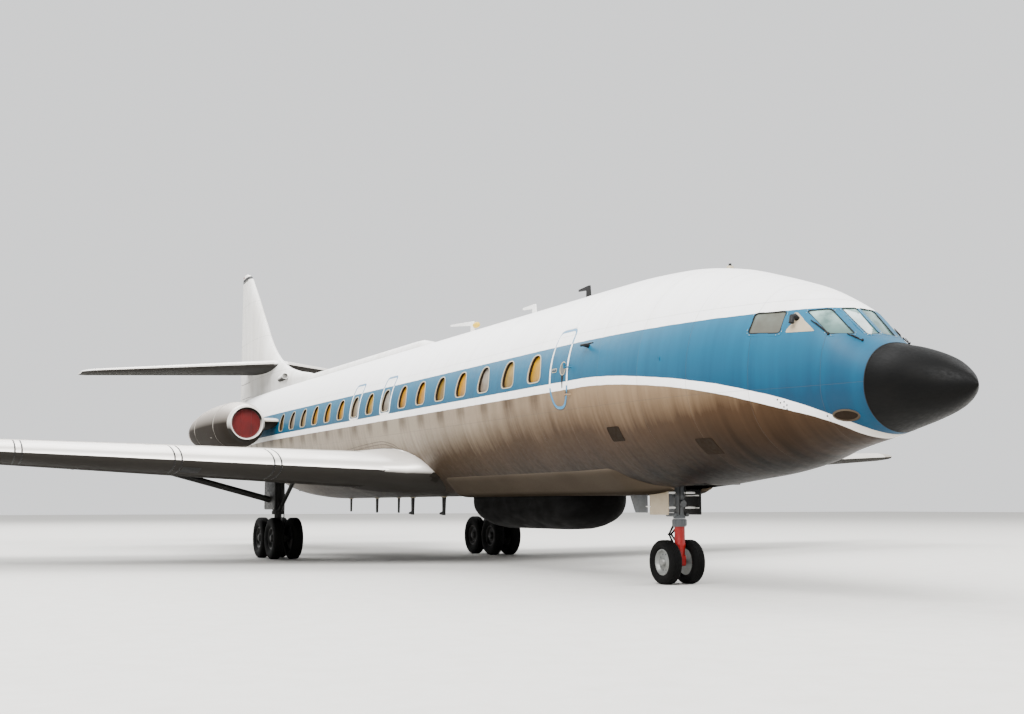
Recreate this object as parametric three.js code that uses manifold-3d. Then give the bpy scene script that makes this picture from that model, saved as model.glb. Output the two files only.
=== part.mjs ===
// Narrow-body twin-jet airliner with rear engines, a cross-shaped tail and a belly canoe radome.
// Millimetres, +Z up, the nose points to -Y, starboard is -X. The origin is on the ground, under
// the middle of the aircraft. A station is a distance aft of the nose tip.
import * as THREE from "three";
import { mergeVertices } from "three/addons/utils/BufferGeometryUtils.js";
import Module from "manifold-3d";

const wasm = await Module();
wasm.setup();

// Driving dimensions
const LENGTH = 32010;
const SPAN = 34300;
const HEIGHT = 8720;
const BODY_RADIUS = 1600;
const BODY_AXIS_Z = 2922;
const BODY_SIDES = 40;
const SEAM = 0.3; // gap kept between solids that touch
const CLEARANCE = 6; // gap round a solid that moves
const NOSE_GEAR_STATION = 5815;
const NOSE_TRAIL = 80; // the nose axle lies this far behind the leg
const WHEELBASE = 11790;
const MAIN_GEAR_STATION = NOSE_GEAR_STATION + WHEELBASE;
const WHEEL_TRACK = 5210;
const DIHEDRAL = THREE.MathUtils.degToRad(3);

// Frames of the fuselage: station, height of the top, height of the belly, height of the widest
// place, half width, fullness of the upper half (2 is an ellipse, more is squarer).
const BODY_FRAMES = [
  [0, 2430, 2403, 2415, 8, 2],
  [40, 2496, 2359, 2416, 50, 2],
  [160, 2607, 2264, 2419, 173, 2],
  [400, 2757, 2150, 2425, 340, 2.1],
  [800, 2904, 2040, 2450, 490, 2.1],
  [1150, 2995, 1961, 2472, 548, 2.15],
  [1400, 3115, 1905, 2488, 610, 2.4],
  [1850, 3508, 1825, 2517, 740, 2.6],
  [2250, 3734, 1745, 2560, 880, 2.5],
  [2600, 3895, 1650, 2600, 1030, 2.4],
  [3000, 4037, 1575, 2648, 1170, 2.25],
  [3400, 4164, 1521, 2696, 1290, 2.15],
  [4000, 4335, 1467, 2770, 1414, 2.05],
  [4900, 4475, 1388, 2860, 1525, 2],
  [6000, 4520, 1332, 2915, 1586, 2],
  [7300, 4522, 1322, BODY_AXIS_Z, BODY_RADIUS, 2],
  [12900, 4522, 1322, BODY_AXIS_Z, BODY_RADIUS, 2],
  [20400, 4522, 1322, BODY_AXIS_Z, BODY_RADIUS, 2],
  [22400, 4522, 1405, 2965, 1570, 2],
  [24400, 4522, 1700, 3110, 1455, 2],
  [26400, 4522, 2210, 3370, 1225, 2],
  [28500, 4520, 2840, 3680, 895, 2],
  [30300, 4505, 3440, 3975, 560, 2],
  [31500, 4450, 3860, 4155, 300, 2],
  [LENGTH, 4360, 4080, 4220, 140, 2],
];
const RADOME_END = 1150;
const NOSE_END = 4900;
const CABIN_END = 12900;
const CENTRE_END = 20400;
const REAR_END = 28500;

// Wing sections: distance from the centre plane, station of the leading edge, chord, thickness
// as a share of the chord.
const WING_SECTIONS = [
  [250, 11930, 6276, 0.125],
  [6200, 14450, 4826, 0.12],
  [15900, 18720, 2310, 0.11],
  [16600, 19200, 1980, 0.1],
  [17000, 19780, 1430, 0.075],
  [SPAN / 2, 20330, 760, 0.05],
];
const WING_ROOT_Z = 1790;
const WING_CAMBER = 0.012;
const WING_HINGE_SHARE = 0.74;
const FLAP_SPAN = [2950, 10600];
const AILERON_SPAN = [10900, 15800];
const FENCE_X = 11900;

// Fin sections: height, station of the leading edge, station of the trailing edge, thickness.
const FIN_SECTIONS = [
  [4330, 22900, 31465, 360],
  [4740, 23500, 31465, 360],
  [4900, 24600, 31465, 355],
  [5130, 25750, 31465, 345],
  [5480, 26720, 31465, 335],
  [5920, 27500, 31465, 320],
  [6900, 28600, 31465, 270],
  [8200, 29990, 31465, 180],
  [8600, 30480, 31465, 120],
  [HEIGHT, 30900, 31300, 50],
];
// Rudders: height of the lower and of the upper edge.
const RUDDERS = [
  ["rudder_lower", 4590, 5070],
  ["rudder_upper", 5420, 8480],
];
const FIN_HINGE = { low: [29950, 4560], high: [30620, 8560] }; // station, height
const SCOOP = { x: 265, z: 4835, start: 25400, end: 26500, radius: 92 };
const SPINE = { start: 14700, end: 24600, top: 4735, half: 130 };

// Tailplane sections: distance from the centre plane, station of the leading edge, chord, share.
const TAIL_SECTIONS = [
  [0, 26600, 3780, 0.095],
  [5050, 29120, 1560, 0.095],
  [5300, 29480, 1000, 0.07],
];
const TAIL_ROOT_Z = 5335;
const TAIL_TIP_Z = 5130;
const TAIL_HINGE_SHARE = 0.68;
const ELEVATOR_SPAN = [620, 4900];

const NACELLE = { x: 2450, z: 3170, start: 21050, end: 4550, throat: 362, duct: 500 };
// Outline of the nacelle's wall: distance aft of the lip, radius. The outside comes first.
const NACELLE_OUTSIDE = [
  [0, 400],
  [20, 430],
  [120, 475],
  [450, 545],
  [1100, 600],
  [2200, 605],
  [3300, 560],
  [4100, 495],
  [NACELLE.end, 445],
];
const NACELLE_INSIDE = [
  [NACELLE.end, 420],
  [4100, 455],
  [3300, NACELLE.duct],
  [1300, NACELLE.duct],
  [900, 420],
  [250, NACELLE.throat],
  [90, NACELLE.throat],
  [20, 378],
];
const NACELLE_SIDES = 24;
const ENGINE = { start: 1300, shoulder: 3300, end: 3850 };
// The nozzle's outside: distance aft of the lip, radius.
const NOZZLE_OUTSIDE = [
  [4150, 448],
  [NACELLE.end, 420 - SEAM],
  [5000, 372],
];
const NOZZLE_WALL = 18;
const PYLON = { start: 21400, chord: 3900, z: 3250, share: 0.075 };

const BELLY_FAIRING = { start: 5400, end: 12900, half: 980, top: 1700, bottom: 1290 };
const CANOE = { start: 7700, end: 12200, half: 540, bottom: 735 };

const MAIN_TYRE = { radius: 444.5, width: 229, rim: 235 };
const NOSE_TYRE = { radius: 320, width: 195, rim: 190 };
const MAIN_TWIN = 420; // between the centres of two tyres on one axle
const NOSE_TWIN = 396;
const BOGIE_AXLES = 980;
const BEAM_RADIUS = 80;
const MAIN_AXLE_RADIUS = 45;
const NOSE_AXLE_RADIUS = 32;
const PIN_SIDES = 12;
const AXLE_SIDES = 20;
const SURFACE_PIN = 18; // radius of the pins that carry a control surface
const SURFACE_PIN_REACH = 70;
const SURFACE_REACH = 3200; // deeper than any control surface's chord
const SURFACE_DEPTH = 900;
const WHEEL_SIDES = 20;
const STEER_PLANE_Z = 940;
const PISTON_RADIUS = 56;
const NOSE_LEG_RADIUS = 76;
const NOSE_COLLAR_RADIUS = 94;
const NOSE_DOOR = { x: 282, thick: 20, start: 5590, end: 6080, arms: [1105, 1320], bars: [1120, 1305] };
const PISTON_SIDES = 28;
const PISTON_TOP = 1250;

// Joint ranges that shape the solids
const AIRSTAIR = { start: 23500, end: 27000, half: 440, depth: 260, lug: 320 };
// Doors: side, front station, rear station, sill height, head height.
const DOORS = [
  ["service_door", -1, 6190, 6760, 2530, 3740],
  ["passenger_door", 1, 6100, 6960, 2330, 4010],
];
const DOOR_DEPTH = 90;
const DOOR_HINGE_OFFSET = 45; // hinge line outside the skin's widest place
const DOOR_LUGS = [2750, 3150]; // heights
// Hinge lugs: knuckle radius, plate width, depth below the hinge line, ends of the foot, pin radius.
const LUG = { radius: 22, width: 40, sink: 100, near: 50, far: 105, pin: 9 };

// Jacking pads, flat underneath: distance from the centre plane, station, height of the face, radius.
const NOSE_PAD = [0, 4300, 1415, 55];
const WING_PAD = [4000, 16600, 1700, 60];
const PAD_STEM = 120; // how far a pad's stem reaches up into its skin

// Cockpit panes of the starboard side: four corners each, as x, station and height.
const PANES = [
  [[-12, 1838, 3480], [-255, 1838, 3475], [-215, 1415, 3105], [-12, 1430, 3125]],
  [[-355, 1880, 3467], [-563, 2084, 3456], [-567, 1700, 3122], [-340, 1488, 3115]],
  [[-674, 2302, 3479], [-866, 2683, 3488], [-988, 2692, 3224], [-816, 2287, 3192]],
];
const GLASS = { recess: 3, thick: 22, backing: 10, reach: 90 };
const GLASS_ZONE = { front: 1395, rear: 2770, low: 3060, high: 3560 };

// Antennas: carrier, station, heights of the foot and of the tip, chord of the mast, then the
// station where the arm at the tip ends (0 for none) and its height there.
const ANTENNAS = [
  ["nose_section", 4370, 4350, 4480, 60, 0, 0],
  ["forward_cabin", 8330, 4480, 4790, 160, 8660, 4770],
  ["forward_cabin", 10310, 4480, 4760, 160, 10760, 4750],
  ["centre_fuselage", 13010, 4480, 4800, 170, 14100, 4870],
  ["centre_fuselage", 14420, 1350, 945, 170, 14640, 960],
  ["centre_fuselage", 16150, 1350, 945, 170, 16370, 960],
  ["centre_fuselage", 17000, 1350, 980, 110, 0, 0],
  ["centre_fuselage", 18400, 1350, 980, 150, 0, 0],
  ["centre_fuselage", 20250, 1350, 1000, 130, 0, 0],
];
const ANTENNA_THICK = 26;

// Finishes
const FINISH = {
  white: { color: 0xe9e8e4, roughness: 0.45, metalness: 0.05 },
  aluminium: { color: 0xa8a49c, roughness: 0.4, metalness: 0.85 },
  blue: { color: 0x4f9fc4, roughness: 0.45, metalness: 0.05 },
  black: { color: 0x1a1a1c, roughness: 0.55, metalness: 0 },
  glass: { color: 0x8ca7a6, roughness: 0.15, metalness: 0 },
  red: { color: 0x8f1414, roughness: 0.6, metalness: 0 },
  steel: { color: 0x6f7276, roughness: 0.45, metalness: 0.9 },
  rubber: { color: 0x17181a, roughness: 0.85, metalness: 0 },
  grey: { color: 0x8a8d8f, roughness: 0.5, metalness: 0.3 },
};
const material = Object.fromEntries(
  Object.entries(FINISH).map(([name, look]) => [name, new THREE.MeshStandardMaterial(look)]),
);

const yAt = (station) => station - LENGTH / 2;
const point = (x, station, z) => new THREE.Vector3(x, yAt(station), z);
const lerp = THREE.MathUtils.lerp;
// A bore's radius, so that its flats clear a pin of this radius as the pin turns.
const boreFor = (radius, sides) => radius / Math.cos(Math.PI / sides) + SEAM;

// A closed skin through rings of equally many points, with a flat cap on the first and the last.
class LoftGeometry extends THREE.BufferGeometry {
  constructor(rings) {
    super();
    const count = rings[0].length;
    const index = [];
    for (let r = 0; r < rings.length - 1; r++) {
      for (let i = 0; i < count; i++) {
        const a = r * count + i;
        const b = r * count + ((i + 1) % count);
        index.push(a, b, b + count, a, b + count, a + count);
      }
    }
    const last = (rings.length - 1) * count;
    for (const [i, j, k] of LoftGeometry.cap(rings[0])) index.push(i, k, j);
    for (const [i, j, k] of LoftGeometry.cap(rings.at(-1))) index.push(last + i, last + j, last + k);
    const corners = rings.flat().flatMap((p) => p.toArray());
    this.setAttribute("position", new THREE.Float32BufferAttribute(corners, 3));
    this.setIndex(index);
  }

  // Triangles of a flat ring, in the ring's own order.
  static cap(ring) {
    const normal = new THREE.Vector3();
    ring.forEach((p, i) => normal.add(p.clone().cross(ring[(i + 1) % ring.length])));
    const up = new THREE.Vector3(0, 0, 1);
    const turn = new THREE.Quaternion().setFromUnitVectors(normal.normalize(), up);
    const flat = ring.map((p) => p.clone().applyQuaternion(turn));
    return THREE.ShapeUtils.triangulateShape(flat.map((p) => new THREE.Vector2(p.x, p.y)), []);
  }
}

// A three.js geometry as a solid whose faces point out.
function solid(geometry) {
  const bare = geometry.index ? geometry.toNonIndexed() : geometry.clone();
  bare.deleteAttribute("normal");
  bare.deleteAttribute("uv");
  const merged = mergeVertices(bare, 1e-2);
  const build = (triVerts) =>
    new wasm.Manifold(
      new wasm.Mesh({ numProp: 3, vertProperties: merged.attributes.position.array, triVerts }),
    );
  const corners = new Uint32Array(merged.index.array);
  const made = build(corners);
  if (made.volume() > 0) return made;
  return build(corners.reverse());
}

const join = (...solids) => solids.reduce((a, b) => a.add(b));
const loft = (rings) => solid(new LoftGeometry(rings));
const mirrored = (body) => body.mirror([1, 0, 0]);

// A box between two corners, given as x, station and height.
function block([x0, s0, z0], [x1, s1, z1]) {
  const box = new THREE.BoxGeometry(Math.abs(x1 - x0), Math.abs(s1 - s0), Math.abs(z1 - z0));
  return solid(box.translate((x0 + x1) / 2, yAt((s0 + s1) / 2), (z0 + z1) / 2));
}

// A round rod from one point to another.
function rod(from, to, radiusFrom, radiusTo = radiusFrom, sides = 12) {
  const along = to.clone().sub(from);
  const turn = new THREE.Quaternion().setFromUnitVectors(
    new THREE.Vector3(0, 1, 0),
    along.clone().normalize(),
  );
  const geometry = new THREE.CylinderGeometry(radiusTo, radiusFrom, along.length(), sides);
  return solid(geometry.applyQuaternion(turn).translate(...from.clone().add(to).multiplyScalar(0.5)));
}

// A turned solid about an axis along X or Y, from rows of distance along the axis and radius.
function turned(rows, sides, axis) {
  const outline = rows.map(([along, radius]) => new THREE.Vector2(radius, along));
  const lathe = new THREE.LatheGeometry(outline, sides);
  if (axis === "x") lathe.rotateZ(-Math.PI / 2);
  return solid(lathe);
}

function put(group, name, body, look) {
  const data = body.getMesh();
  const geometry = new THREE.BufferGeometry();
  geometry.setAttribute("position", new THREE.BufferAttribute(data.vertProperties, 3));
  geometry.setIndex(new THREE.BufferAttribute(data.triVerts, 1));
  geometry.computeVertexNormals();
  const mesh = new THREE.Mesh(geometry, material[look]);
  mesh.name = name;
  group.add(mesh);
}

// Fuselage

// A frame of the fuselage, pushed out by grow: a full upper half and a half ellipse below it.
function frameRing([station, top, bottom, widest, half, fullness], grow = 0) {
  return Array.from({ length: BODY_SIDES }, (_, i) => {
    const angle = (i / BODY_SIDES) * 2 * Math.PI;
    const upper = Math.cos(angle) > 1e-9;
    const rise = upper ? top - widest : widest - bottom;
    const full = (value) => Math.sign(value) * Math.abs(value) ** (upper ? 2 / fullness : 1);
    const x = (half + grow) * full(Math.sin(angle));
    return point(x, station, widest + (rise + grow) * full(Math.cos(angle)));
  });
}

// The frame at any station, between the two listed ones.
function frameAt(station) {
  const next = BODY_FRAMES.findIndex((frame) => frame[0] >= station);
  if (next <= 0) return BODY_FRAMES[0];
  const [before, after] = [BODY_FRAMES[next - 1], BODY_FRAMES[next]];
  const share = (station - before[0]) / (after[0] - before[0]);
  return before.map((value, column) => lerp(value, after[column], share));
}

// The fuselage between two stations, pushed out by grow.
function bodyLength(start, end, grow = 0) {
  const between = BODY_FRAMES.filter(([station]) => station > start + 1 && station < end - 1);
  return loft([frameAt(start), ...between, frameAt(end)].map((frame) => frameRing(frame, grow)));
}

// One plate of a hinge lug: a foot set into the skin, from near to far along the skin, and a
// knuckle about the hinge line. It is drawn in the hinge's own frame and starts at offset.
function hingeLug(hinge, offset, near, far) {
  const side = Math.sign(near);
  const plate = new THREE.Shape();
  plate.moveTo(near, -LUG.sink);
  plate.lineTo(far, -LUG.sink);
  const [start, end] = side > 0 ? [0.1, 1.15] : [0.9, -0.15];
  plate.absarc(0, 0, LUG.radius, start * Math.PI, end * Math.PI, side < 0);
  plate.closePath();
  const options = { depth: LUG.width, bevelEnabled: false, curveSegments: 8 };
  const geometry = new THREE.ExtrudeGeometry(plate, options);
  return solid(geometry.translate(0, 0, offset).applyMatrix4(hinge.frame));
}

// A panel cut out of a skin so that it can swing about a hinge: the far edge is round about the
// hinge, so that it clears the jamb, and lugs with a pin carry it. The hinge's frame has its
// X along the skin towards the far edge, Y out of the skin and Z along the hinge line.
function swingPanel(skin, inner, hinge, reach, reachSides) {
  const along = new THREE.Vector3().setFromMatrixColumn(hinge.frame, 2);
  const centre = new THREE.Vector3().setFromMatrixPosition(hinge.frame);
  const at = (distance) => centre.clone().addScaledVector(along, distance);
  const onLine = (from, to, radius, sides) => rod(at(from), at(to), radius, radius, sides);
  const shrink = (gap) =>
    hinge.region(gap).intersect(onLine(-hinge.half, hinge.half, reach - gap, reachSides));
  const fixed = hinge.lugs.flatMap((offset) => [
    hingeLug(hinge, offset - LUG.width, -LUG.near, -LUG.far),
    onLine(offset - LUG.width, offset + LUG.width, LUG.pin, PIN_SIDES),
  ]);
  const moving = hinge.lugs.map((offset) =>
    hingeLug(hinge, offset + SEAM, LUG.near, LUG.far).subtract(
      onLine(offset - 1, offset + LUG.width + 1, boreFor(LUG.pin, PIN_SIDES), PIN_SIDES),
    ),
  );
  return {
    hole: shrink(0).subtract(inner(CLEARANCE)),
    fixed: join(...fixed),
    panel: join(skin.intersect(shrink(CLEARANCE)).subtract(inner(0)), ...moving),
  };
}

// Lifting surfaces

// Half the thickness of a streamlined section of unit thickness, at a share of its chord.
const halfThickness = (c) =>
  5 * (0.2969 * Math.sqrt(c) - 0.126 * c - 0.3516 * c ** 2 + 0.2843 * c ** 3 - 0.1015 * c ** 4);

// A wing section's outline in shares of the chord: [along, up], from the trailing edge over the
// top to the nose and back under.
function aerofoil(share, camber = 0, steps = 7) {
  const half = (c) => share * halfThickness(c);
  const arch = (c) => 4 * camber * c * (1 - c);
  const along = Array.from({ length: steps + 1 }, (_, i) => 0.5 + 0.5 * Math.cos((i / steps) * Math.PI));
  const top = along.map((c) => [c, arch(c) + half(c)]);
  const bottom = along.slice(0, -1).reverse().map((c) => [c, arch(c) - half(c)]);
  return [...top, ...bottom];
}

// A ring of a wing or tailplane at x.
const flatRing = (x, lead, chord, share, z, camber) =>
  aerofoil(share, camber).map(([c, up]) => point(x, lead + c * chord, z + up * chord));

// A ring of the fin at a height.
function uprightRing([z, lead, trail, thick]) {
  const chord = trail - lead;
  return aerofoil(thick / chord).map(([c, up]) => point(up * chord, lead + c * chord, z));
}

const wingZ = (x) => WING_ROOT_Z + (x - BODY_RADIUS) * Math.tan(DIHEDRAL);

// A place on a surface's middle line between its sections, and half the thickness there.
function onChord(sections, x, share, zAt, camber = 0) {
  const next = Math.max(1, sections.findIndex((row) => row[0] >= x));
  const [a, b] = [sections[next - 1], sections[next]];
  const t = (x - a[0]) / (b[0] - a[0]);
  const [lead, chord, thickness] = [1, 2, 3].map((column) => lerp(a[column], b[column], t));
  const arch = 4 * camber * share * (1 - share) * chord;
  return {
    place: point(x, lead + share * chord, zAt(x) + arch),
    thick: thickness * chord * halfThickness(share),
  };
}

// A control surface cut off its host: everything aft of the hinge line, with a round nose about
// that line. The hinge has points along its line, each a place and half the thickness there, and
// up, which points out of the surface. Gap is kept round it, region limits it, and pins carry it
// at the ends.
function controlSurface(host, hinge, { gap = CLEARANCE, region = null, ends = hinge.points } = {}) {
  const [from, to] = [hinge.points[0].place, hinge.points.at(-1).place];
  const along = to.clone().sub(from).normalize();
  const length = from.distanceTo(to);
  const aft = along.clone().cross(hinge.up).normalize();
  if (aft.y < 0) aft.negate();
  const frame = new THREE.Matrix4().makeBasis(along, aft, along.clone().cross(aft)).setPosition(from);
  const behind = (inset, start) => {
    const box = new THREE.BoxGeometry(length - 2 * inset, SURFACE_REACH - start, SURFACE_DEPTH);
    return solid(box.translate(length / 2, (SURFACE_REACH + start) / 2, 0).applyMatrix4(frame));
  };
  const nose = (inset, grow) => {
    const last = hinge.points.length - 1;
    const moved = hinge.points.map(({ place, thick }, i) => ({
      place: place.clone().addScaledVector(along, i === 0 ? inset : i === last ? -inset : 0),
      radius: thick + grow,
    }));
    const lengths = moved.slice(1).map((b, i) => [moved[i], b]);
    return join(...lengths.map(([a, b]) => rod(a.place, b.place, a.radius, b.radius, 16)));
  };
  const limited = (body, inset) => (region ? body.intersect(region(inset)) : body);
  const pins = (radius, reach) =>
    ends.map(({ place }) => {
      const step = along.clone().multiplyScalar(reach);
      return rod(place.clone().sub(step), place.clone().add(step), radius, radius, PIN_SIDES);
    });
  const left = host.subtract(limited(behind(0, -gap).add(nose(0, 2 * gap)), 0));
  const surface = limited(host.intersect(behind(gap, 0)).add(nose(gap, -1)), gap);
  const bores = pins(boreFor(SURFACE_PIN, PIN_SIDES), SURFACE_PIN_REACH + gap);
  return {
    host: join(left, ...pins(SURFACE_PIN, SURFACE_PIN_REACH)),
    surface: bores.reduce((body, bore) => body.subtract(bore), surface),
  };
}

// Wheels

// A tyre's outline: distance from its middle, radius.
function tyreRows({ radius, width, rim }) {
  const half = width / 2;
  const wall = radius - rim;
  return [
    [-half * 0.62, rim],
    [-half, rim + wall * 0.5],
    [-half * 0.86, radius - wall * 0.12],
    [-half * 0.5, radius],
    [half * 0.5, radius],
    [half * 0.86, radius - wall * 0.12],
    [half, rim + wall * 0.5],
    [half * 0.62, rim],
    [-half * 0.62, rim],
  ];
}

// A rim with a dished disc, its outside towards +X.
function rimSolid({ width, rim }, hubRadius) {
  const half = width * 0.31;
  const outer = rim - SEAM;
  return turned(
    [
      [-half, 0],
      [-half, outer],
      [half, outer],
      [half * 0.35, outer - 40],
      [half * 0.35, hubRadius * 1.9],
      [half * 1.2, hubRadius * 1.5],
      [half * 1.2, 0],
    ],
    WHEEL_SIDES,
    "x",
  );
}

// A round axle across the aircraft, half its length either side of x.
const axleRod = (x, station, z, half, radius) =>
  rod(point(x - half, station, z), point(x + half, station, z), radius, radius, AXLE_SIDES);

// One axle with its two wheels: the axle and rims are one solid, each tyre another.
function twinWheels(group, name, tyre, spacing, axleRadius, station, x, axleZ) {
  const place = (body, dx) => body.translate([x + dx, yAt(station), axleZ]);
  const axle = axleRod(x, station, axleZ, spacing / 2, axleRadius);
  const rim = rimSolid(tyre, axleRadius);
  put(group, name, join(axle, place(rim, spacing / 2), place(mirrored(rim), -spacing / 2)), "steel");
  const ring = turned(tyreRows(tyre), WHEEL_SIDES, "x");
  put(group, name + "_tyre_starboard", place(ring, -spacing / 2), "rubber");
  put(group, name + "_tyre_port", place(ring, spacing / 2), "rubber");
}

// Assembly

const airliner = new THREE.Group();
const skyward = new THREE.Vector3(0, 0, 1);
const sideways = new THREE.Vector3(1, 0, 0);
const aftward = new THREE.Vector3(0, 1, 0);

// Both sides of a piece that is drawn on the port side, +X.
function putPair(name, body, look) {
  put(airliner, name + "_port", body, look);
  put(airliner, name + "_starboard", mirrored(body), look);
}

const wholeBody = bodyLength(0, LENGTH);
const bodyCutter = bodyLength(0, LENGTH, SEAM);
const padSolid = ([x, station, z, radius]) =>
  rod(point(x, station, z), point(x, station, z + PAD_STEM), radius);

// Wing
const wingWhole = loft(
  WING_SECTIONS.map(([x, lead, chord, share]) => flatRing(x, lead, chord, share, wingZ(x), WING_CAMBER)),
);
const fence = block([FENCE_X, 17000, wingZ(FENCE_X)], [FENCE_X + 24, 19300, wingZ(FENCE_X) + 420]);
const wingHinge = (x) => onChord(WING_SECTIONS, x, WING_HINGE_SHARE, wingZ, WING_CAMBER);
const aileronCut = controlSurface(wingWhole, { points: AILERON_SPAN.map(wingHinge), up: skyward });
const flapHinge = { points: FLAP_SPAN.map(wingHinge), up: skyward };
const flapCut = controlSurface(aileronCut.host, flapHinge, { gap: 2 * SEAM, ends: [] });

// Main gear pieces that pass into the wing
const gearX = WHEEL_TRACK / 2;
const legTop = point(gearX, MAIN_GEAR_STATION, 1800);
const legMiddle = point(gearX, MAIN_GEAR_STATION, 980);
const legFoot = point(gearX, MAIN_GEAR_STATION, MAIN_TYRE.radius + 95);
const stayFoot = point(gearX, MAIN_GEAR_STATION, 1225);
const stayTop = point(gearX + 2345, MAIN_GEAR_STATION, 1850);
const dragTop = point(gearX, MAIN_GEAR_STATION - 1150, 1660);
// Each strut of the leg: from, to, radius. With grow they are thicker and longer, for cutting.
const LEG_STRUTS = [
  [legMiddle, legTop, 125],
  [legFoot, legMiddle, 80],
  [stayFoot, stayTop, 68],
  [legMiddle, dragTop, 45],
];
const legParts = (grow) =>
  join(
    ...LEG_STRUTS.map(([from, to, radius]) => {
      const end = to.clone().add(to.clone().sub(from).setLength(grow || 1e-6));
      return rod(from, end, radius + grow);
    }),
  );
const mainLeg = legParts(0);
const wing = flapCut.host
  .subtract(legParts(2 * SEAM))
  .subtract(bodyCutter)
  .add(fence)
  .add(padSolid(WING_PAD));
putPair("wing", wing, "aluminium");
putPair("flap", flapCut.surface.subtract(legParts(CLEARANCE)), "aluminium");
putPair("aileron", aileronCut.surface, "aluminium");

// Cockpit glazing: each pane is a prism through the skin, and a thin shell behind joins them.
const noseSkin = (grow) => bodyLength(RADOME_END, NOSE_END, grow);
function panePrism(corners, grow) {
  const [a, b, c, d] = corners.map(([x, station, z]) => point(x, station, z));
  const normal = c.clone().sub(a).cross(d.clone().sub(b)).normalize();
  const middle = a.clone().add(b).add(c).add(d).multiplyScalar(0.25);
  const grown = [a, b, c, d].map((p) => p.clone().add(p.clone().sub(middle).setLength(grow || 1e-6)));
  const moved = (away) => grown.map((p) => p.clone().addScaledVector(normal, away));
  return loft([moved(-GLASS.reach), moved(GLASS.reach)]);
}
const panePrisms = (grow) => {
  const half = join(...PANES.map((corners) => panePrism(corners, grow)));
  return half.add(mirrored(half));
};
const glassZone = (grow) =>
  block(
    [-1100, GLASS_ZONE.front - grow, GLASS_ZONE.low - grow],
    [1100, GLASS_ZONE.rear + grow, GLASS_ZONE.high + grow],
  );
const shellBetween = (outer, inner) => noseSkin(-outer).subtract(noseSkin(-inner));
const glassBack = GLASS.recess + GLASS.thick;
const glazing = join(
  panePrisms(0).intersect(shellBetween(GLASS.recess, glassBack + 2)),
  glassZone(0).intersect(shellBetween(glassBack, glassBack + GLASS.backing)),
);
const glazingCutter = join(
  panePrisms(SEAM).intersect(shellBetween(-GLASS.reach, glassBack + 2)),
  glassZone(SEAM).intersect(shellBetween(glassBack - SEAM, glassBack + GLASS.backing + SEAM)),
);

// A blade antenna: a mast, and an arm from its tip that points aft.
function antenna([, station, foot, tip, chord, armEnd, armZ]) {
  const away = Math.sign(tip - foot);
  const half = ANTENNA_THICK / 2;
  const plate = (corners) =>
    loft([-half, half].map((x) => corners.map(([at, z]) => point(x, at, z))));
  const mast = plate([
    [station - chord / 2, foot],
    [station + chord / 2, foot],
    [station + chord * 0.4, tip],
    [station - chord * 0.3, tip],
  ]);
  if (!armEnd) return mast;
  const arm = plate([
    [station - chord * 0.3, tip - away * chord * 0.45],
    [station + chord * 0.4, tip - away * chord * 0.45],
    [armEnd, armZ - away * 35],
    [armEnd, armZ],
    [station - chord * 0.1, tip + away * 2],
  ]);
  return mast.add(arm);
}
const withAntennas = (name, body) =>
  join(body, ...ANTENNAS.filter(([carrier]) => carrier === name).map(antenna));

// Fuselage lengths
const doorParts = DOORS.map(([name, side, front, rear, sill, head]) => {
  const outward = new THREE.Vector3(side, 0, 0);
  const frame = new THREE.Matrix4()
    .makeBasis(aftward, outward, aftward.clone().cross(outward))
    .setPosition(point(side * (BODY_RADIUS + DOOR_HINGE_OFFSET), front, 0));
  const hinge = {
    frame,
    half: 5000,
    lugs: DOOR_LUGS.map((z) => -side * z),
    region: (gap) =>
      block([side * 900, front + gap, sill + gap], [side * (BODY_RADIUS + 200), rear + 200, head - gap]),
  };
  const inner = (gap) => bodyLength(NOSE_END, CABIN_END, -DOOR_DEPTH - gap);
  return { name, ...swingPanel(wholeBody, inner, hinge, rear - front, 64) };
});
const noseBay = block([-300, 4650, 1200], [300, 6750, 1750]);
const cabin = doorParts.reduce(
  (body, door) => body.subtract(door.hole).add(door.fixed),
  bodyLength(NOSE_END + SEAM, CABIN_END),
);
put(airliner, "nose_radome", bodyLength(0, RADOME_END), "black");
const noseSection = bodyLength(RADOME_END + SEAM, NOSE_END)
  .subtract(noseBay)
  .subtract(glazingCutter)
  .add(padSolid(NOSE_PAD));
put(airliner, "nose_section", withAntennas("nose_section", noseSection), "blue");
put(airliner, "cockpit_glazing", glazing, "glass");
put(airliner, "forward_cabin", withAntennas("forward_cabin", cabin.subtract(noseBay)), "white");
const centre = bodyLength(CABIN_END + SEAM, CENTRE_END);
put(airliner, "centre_fuselage", withAntennas("centre_fuselage", centre), "white");
for (const door of doorParts) put(airliner, door.name, door.panel, "white");

const stairHinge = {
  frame: new THREE.Matrix4()
    .makeBasis(aftward, skyward.clone().negate(), aftward.clone().cross(skyward).negate())
    .setPosition(point(0, AIRSTAIR.start, frameAt(AIRSTAIR.start)[2] - 12)),
  half: 2 * AIRSTAIR.half,
  lugs: [-AIRSTAIR.lug, AIRSTAIR.lug],
  region: (gap) =>
    block(
      [-AIRSTAIR.half + gap, AIRSTAIR.start + gap, 1200],
      [AIRSTAIR.half - gap, AIRSTAIR.end + 300, 3200],
    ),
};
const stairInner = (gap) => bodyLength(CENTRE_END, REAR_END, -AIRSTAIR.depth - gap);
const stair = swingPanel(wholeBody, stairInner, stairHinge, AIRSTAIR.end - AIRSTAIR.start, 96);
const rear = bodyLength(CENTRE_END + SEAM, REAR_END).subtract(stair.hole).add(stair.fixed);
put(airliner, "rear_fuselage", rear, "white");
put(airliner, "tail_cone", bodyLength(REAR_END + SEAM, LENGTH), "white");
put(airliner, "rear_airstair", stair.panel, "aluminium");

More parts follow.
